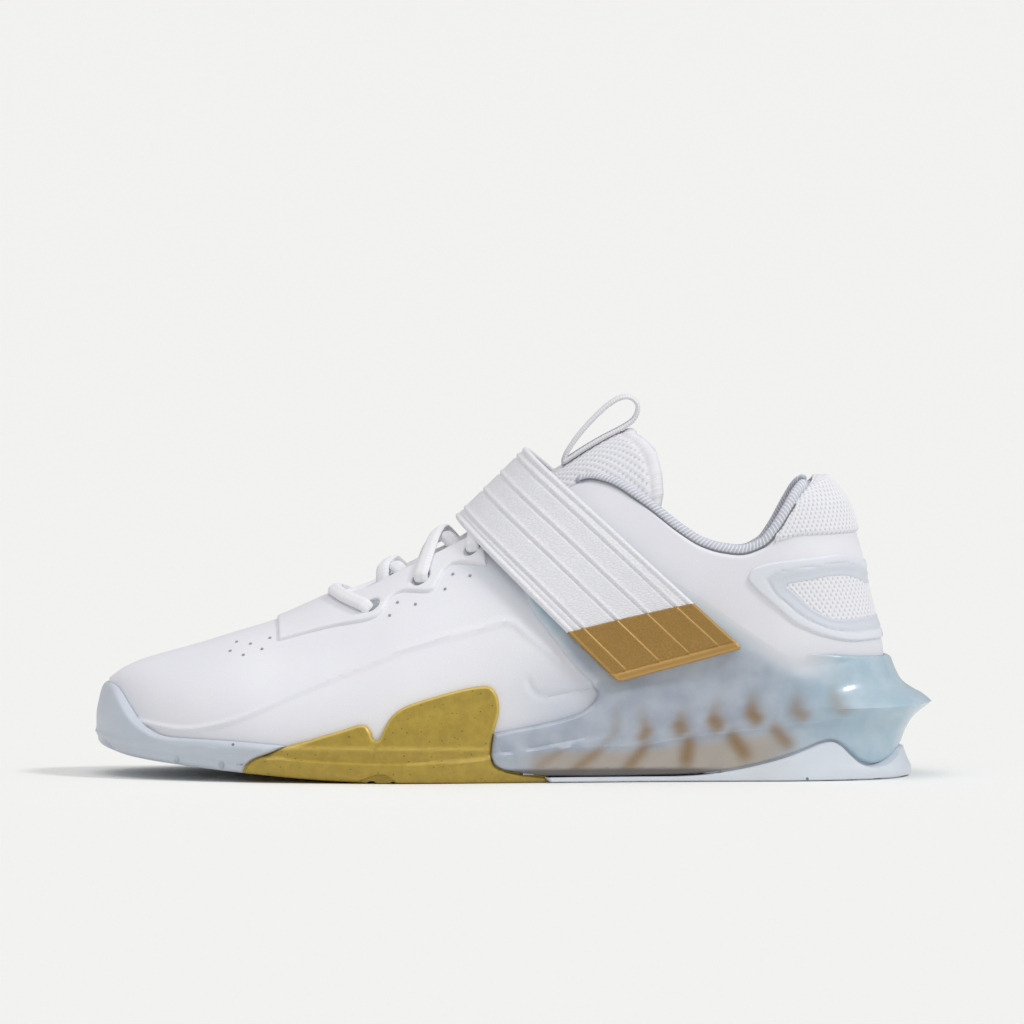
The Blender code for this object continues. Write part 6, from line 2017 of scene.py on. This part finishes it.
class SHOE_OT_upper(bpy.types.Operator):
    """Make the leather upper with its embossed lines and its vent holes"""

    bl_idname = "shoe.upper"
    bl_label = "Upper"

    def execute(self, context):
        return make_pieces(context, build_upper, build_perforations)


class SHOE_OT_overlays(bpy.types.Operator):
    """Make the lace stay, the heel ring and the mesh in it and above it"""

    bl_idname = "shoe.overlays"
    bl_label = "Overlays"

    def execute(self, context):
        return make_pieces(context, build_eyestay, build_counter, build_heel_tab)


class SHOE_OT_collar(bpy.types.Operator):
    """Make the knitted edging of the collar"""

    bl_idname = "shoe.collar"
    bl_label = "Collar edging"

    def execute(self, context):
        return make_pieces(context, build_bindings)


class SHOE_OT_tongue(bpy.types.Operator):
    """Make the foam tongue with its pull loop, and the insole"""

    bl_idname = "shoe.tongue"
    bl_label = "Tongue and insole"

    def execute(self, context):
        return make_pieces(context, build_tongue, build_pull_loop, build_insole)


class SHOE_OT_laces(bpy.types.Operator):
    """Make the laces through their eyelets"""

    bl_idname = "shoe.laces"
    bl_label = "Laces"

    def execute(self, context):
        return make_pieces(context, build_laces)


class SHOE_OT_strap(bpy.types.Operator):
    """Make the instep strap and its bronze tip"""

    bl_idname = "shoe.strap"
    bl_label = "Strap"

    def execute(self, context):
        return make_pieces(context, build_strap)


class SHOE_OT_stage(bpy.types.Operator):
    """Make the studio floor, the light and the camera"""

    bl_idname = "shoe.stage"
    bl_label = "Stage"

    def execute(self, context):
        return make_pieces(context, build_stage)


OPERATORS = (
    SHOE_OT_toe_rubber,
    SHOE_OT_side_wrap,
    SHOE_OT_heel,
    SHOE_OT_upper,
    SHOE_OT_overlays,
    SHOE_OT_collar,
    SHOE_OT_tongue,
    SHOE_OT_laces,
    SHOE_OT_strap,
    SHOE_OT_stage,
)


class SHOE_PT_panel(bpy.types.Panel):
    """Lists the shoe's settings and its pieces"""

    bl_label = "Weightlifting shoe"
    bl_idname = "SHOE_PT_panel"
    bl_space_type = "VIEW_3D"
    bl_region_type = "UI"
    bl_category = "Shoe"

    def draw(self, context):
        for group in (context.scene.shoe_sizes, context.scene.shoe_colours):
            box = self.layout.box()
            for name in type(group).__annotations__:
                box.prop(group, name)
        for operator in OPERATORS:
            self.layout.operator(operator.bl_idname)


CLASSES = (ShoeSizes, ShoeColours, *OPERATORS, SHOE_PT_panel)


def register():
    for kind in CLASSES:
        bpy.utils.register_class(kind)
    bpy.types.Scene.shoe_sizes = PointerProperty(type=ShoeSizes)
    bpy.types.Scene.shoe_colours = PointerProperty(type=ShoeColours)


def unregister():
    del bpy.types.Scene.shoe_colours
    del bpy.types.Scene.shoe_sizes
    for kind in reversed(CLASSES):
        bpy.utils.unregister_class(kind)


def main():
    register()
    for operator in OPERATORS:
        getattr(bpy.ops.shoe, operator.bl_idname.split(".")[1])()


if __name__ == "__main__":
    main()
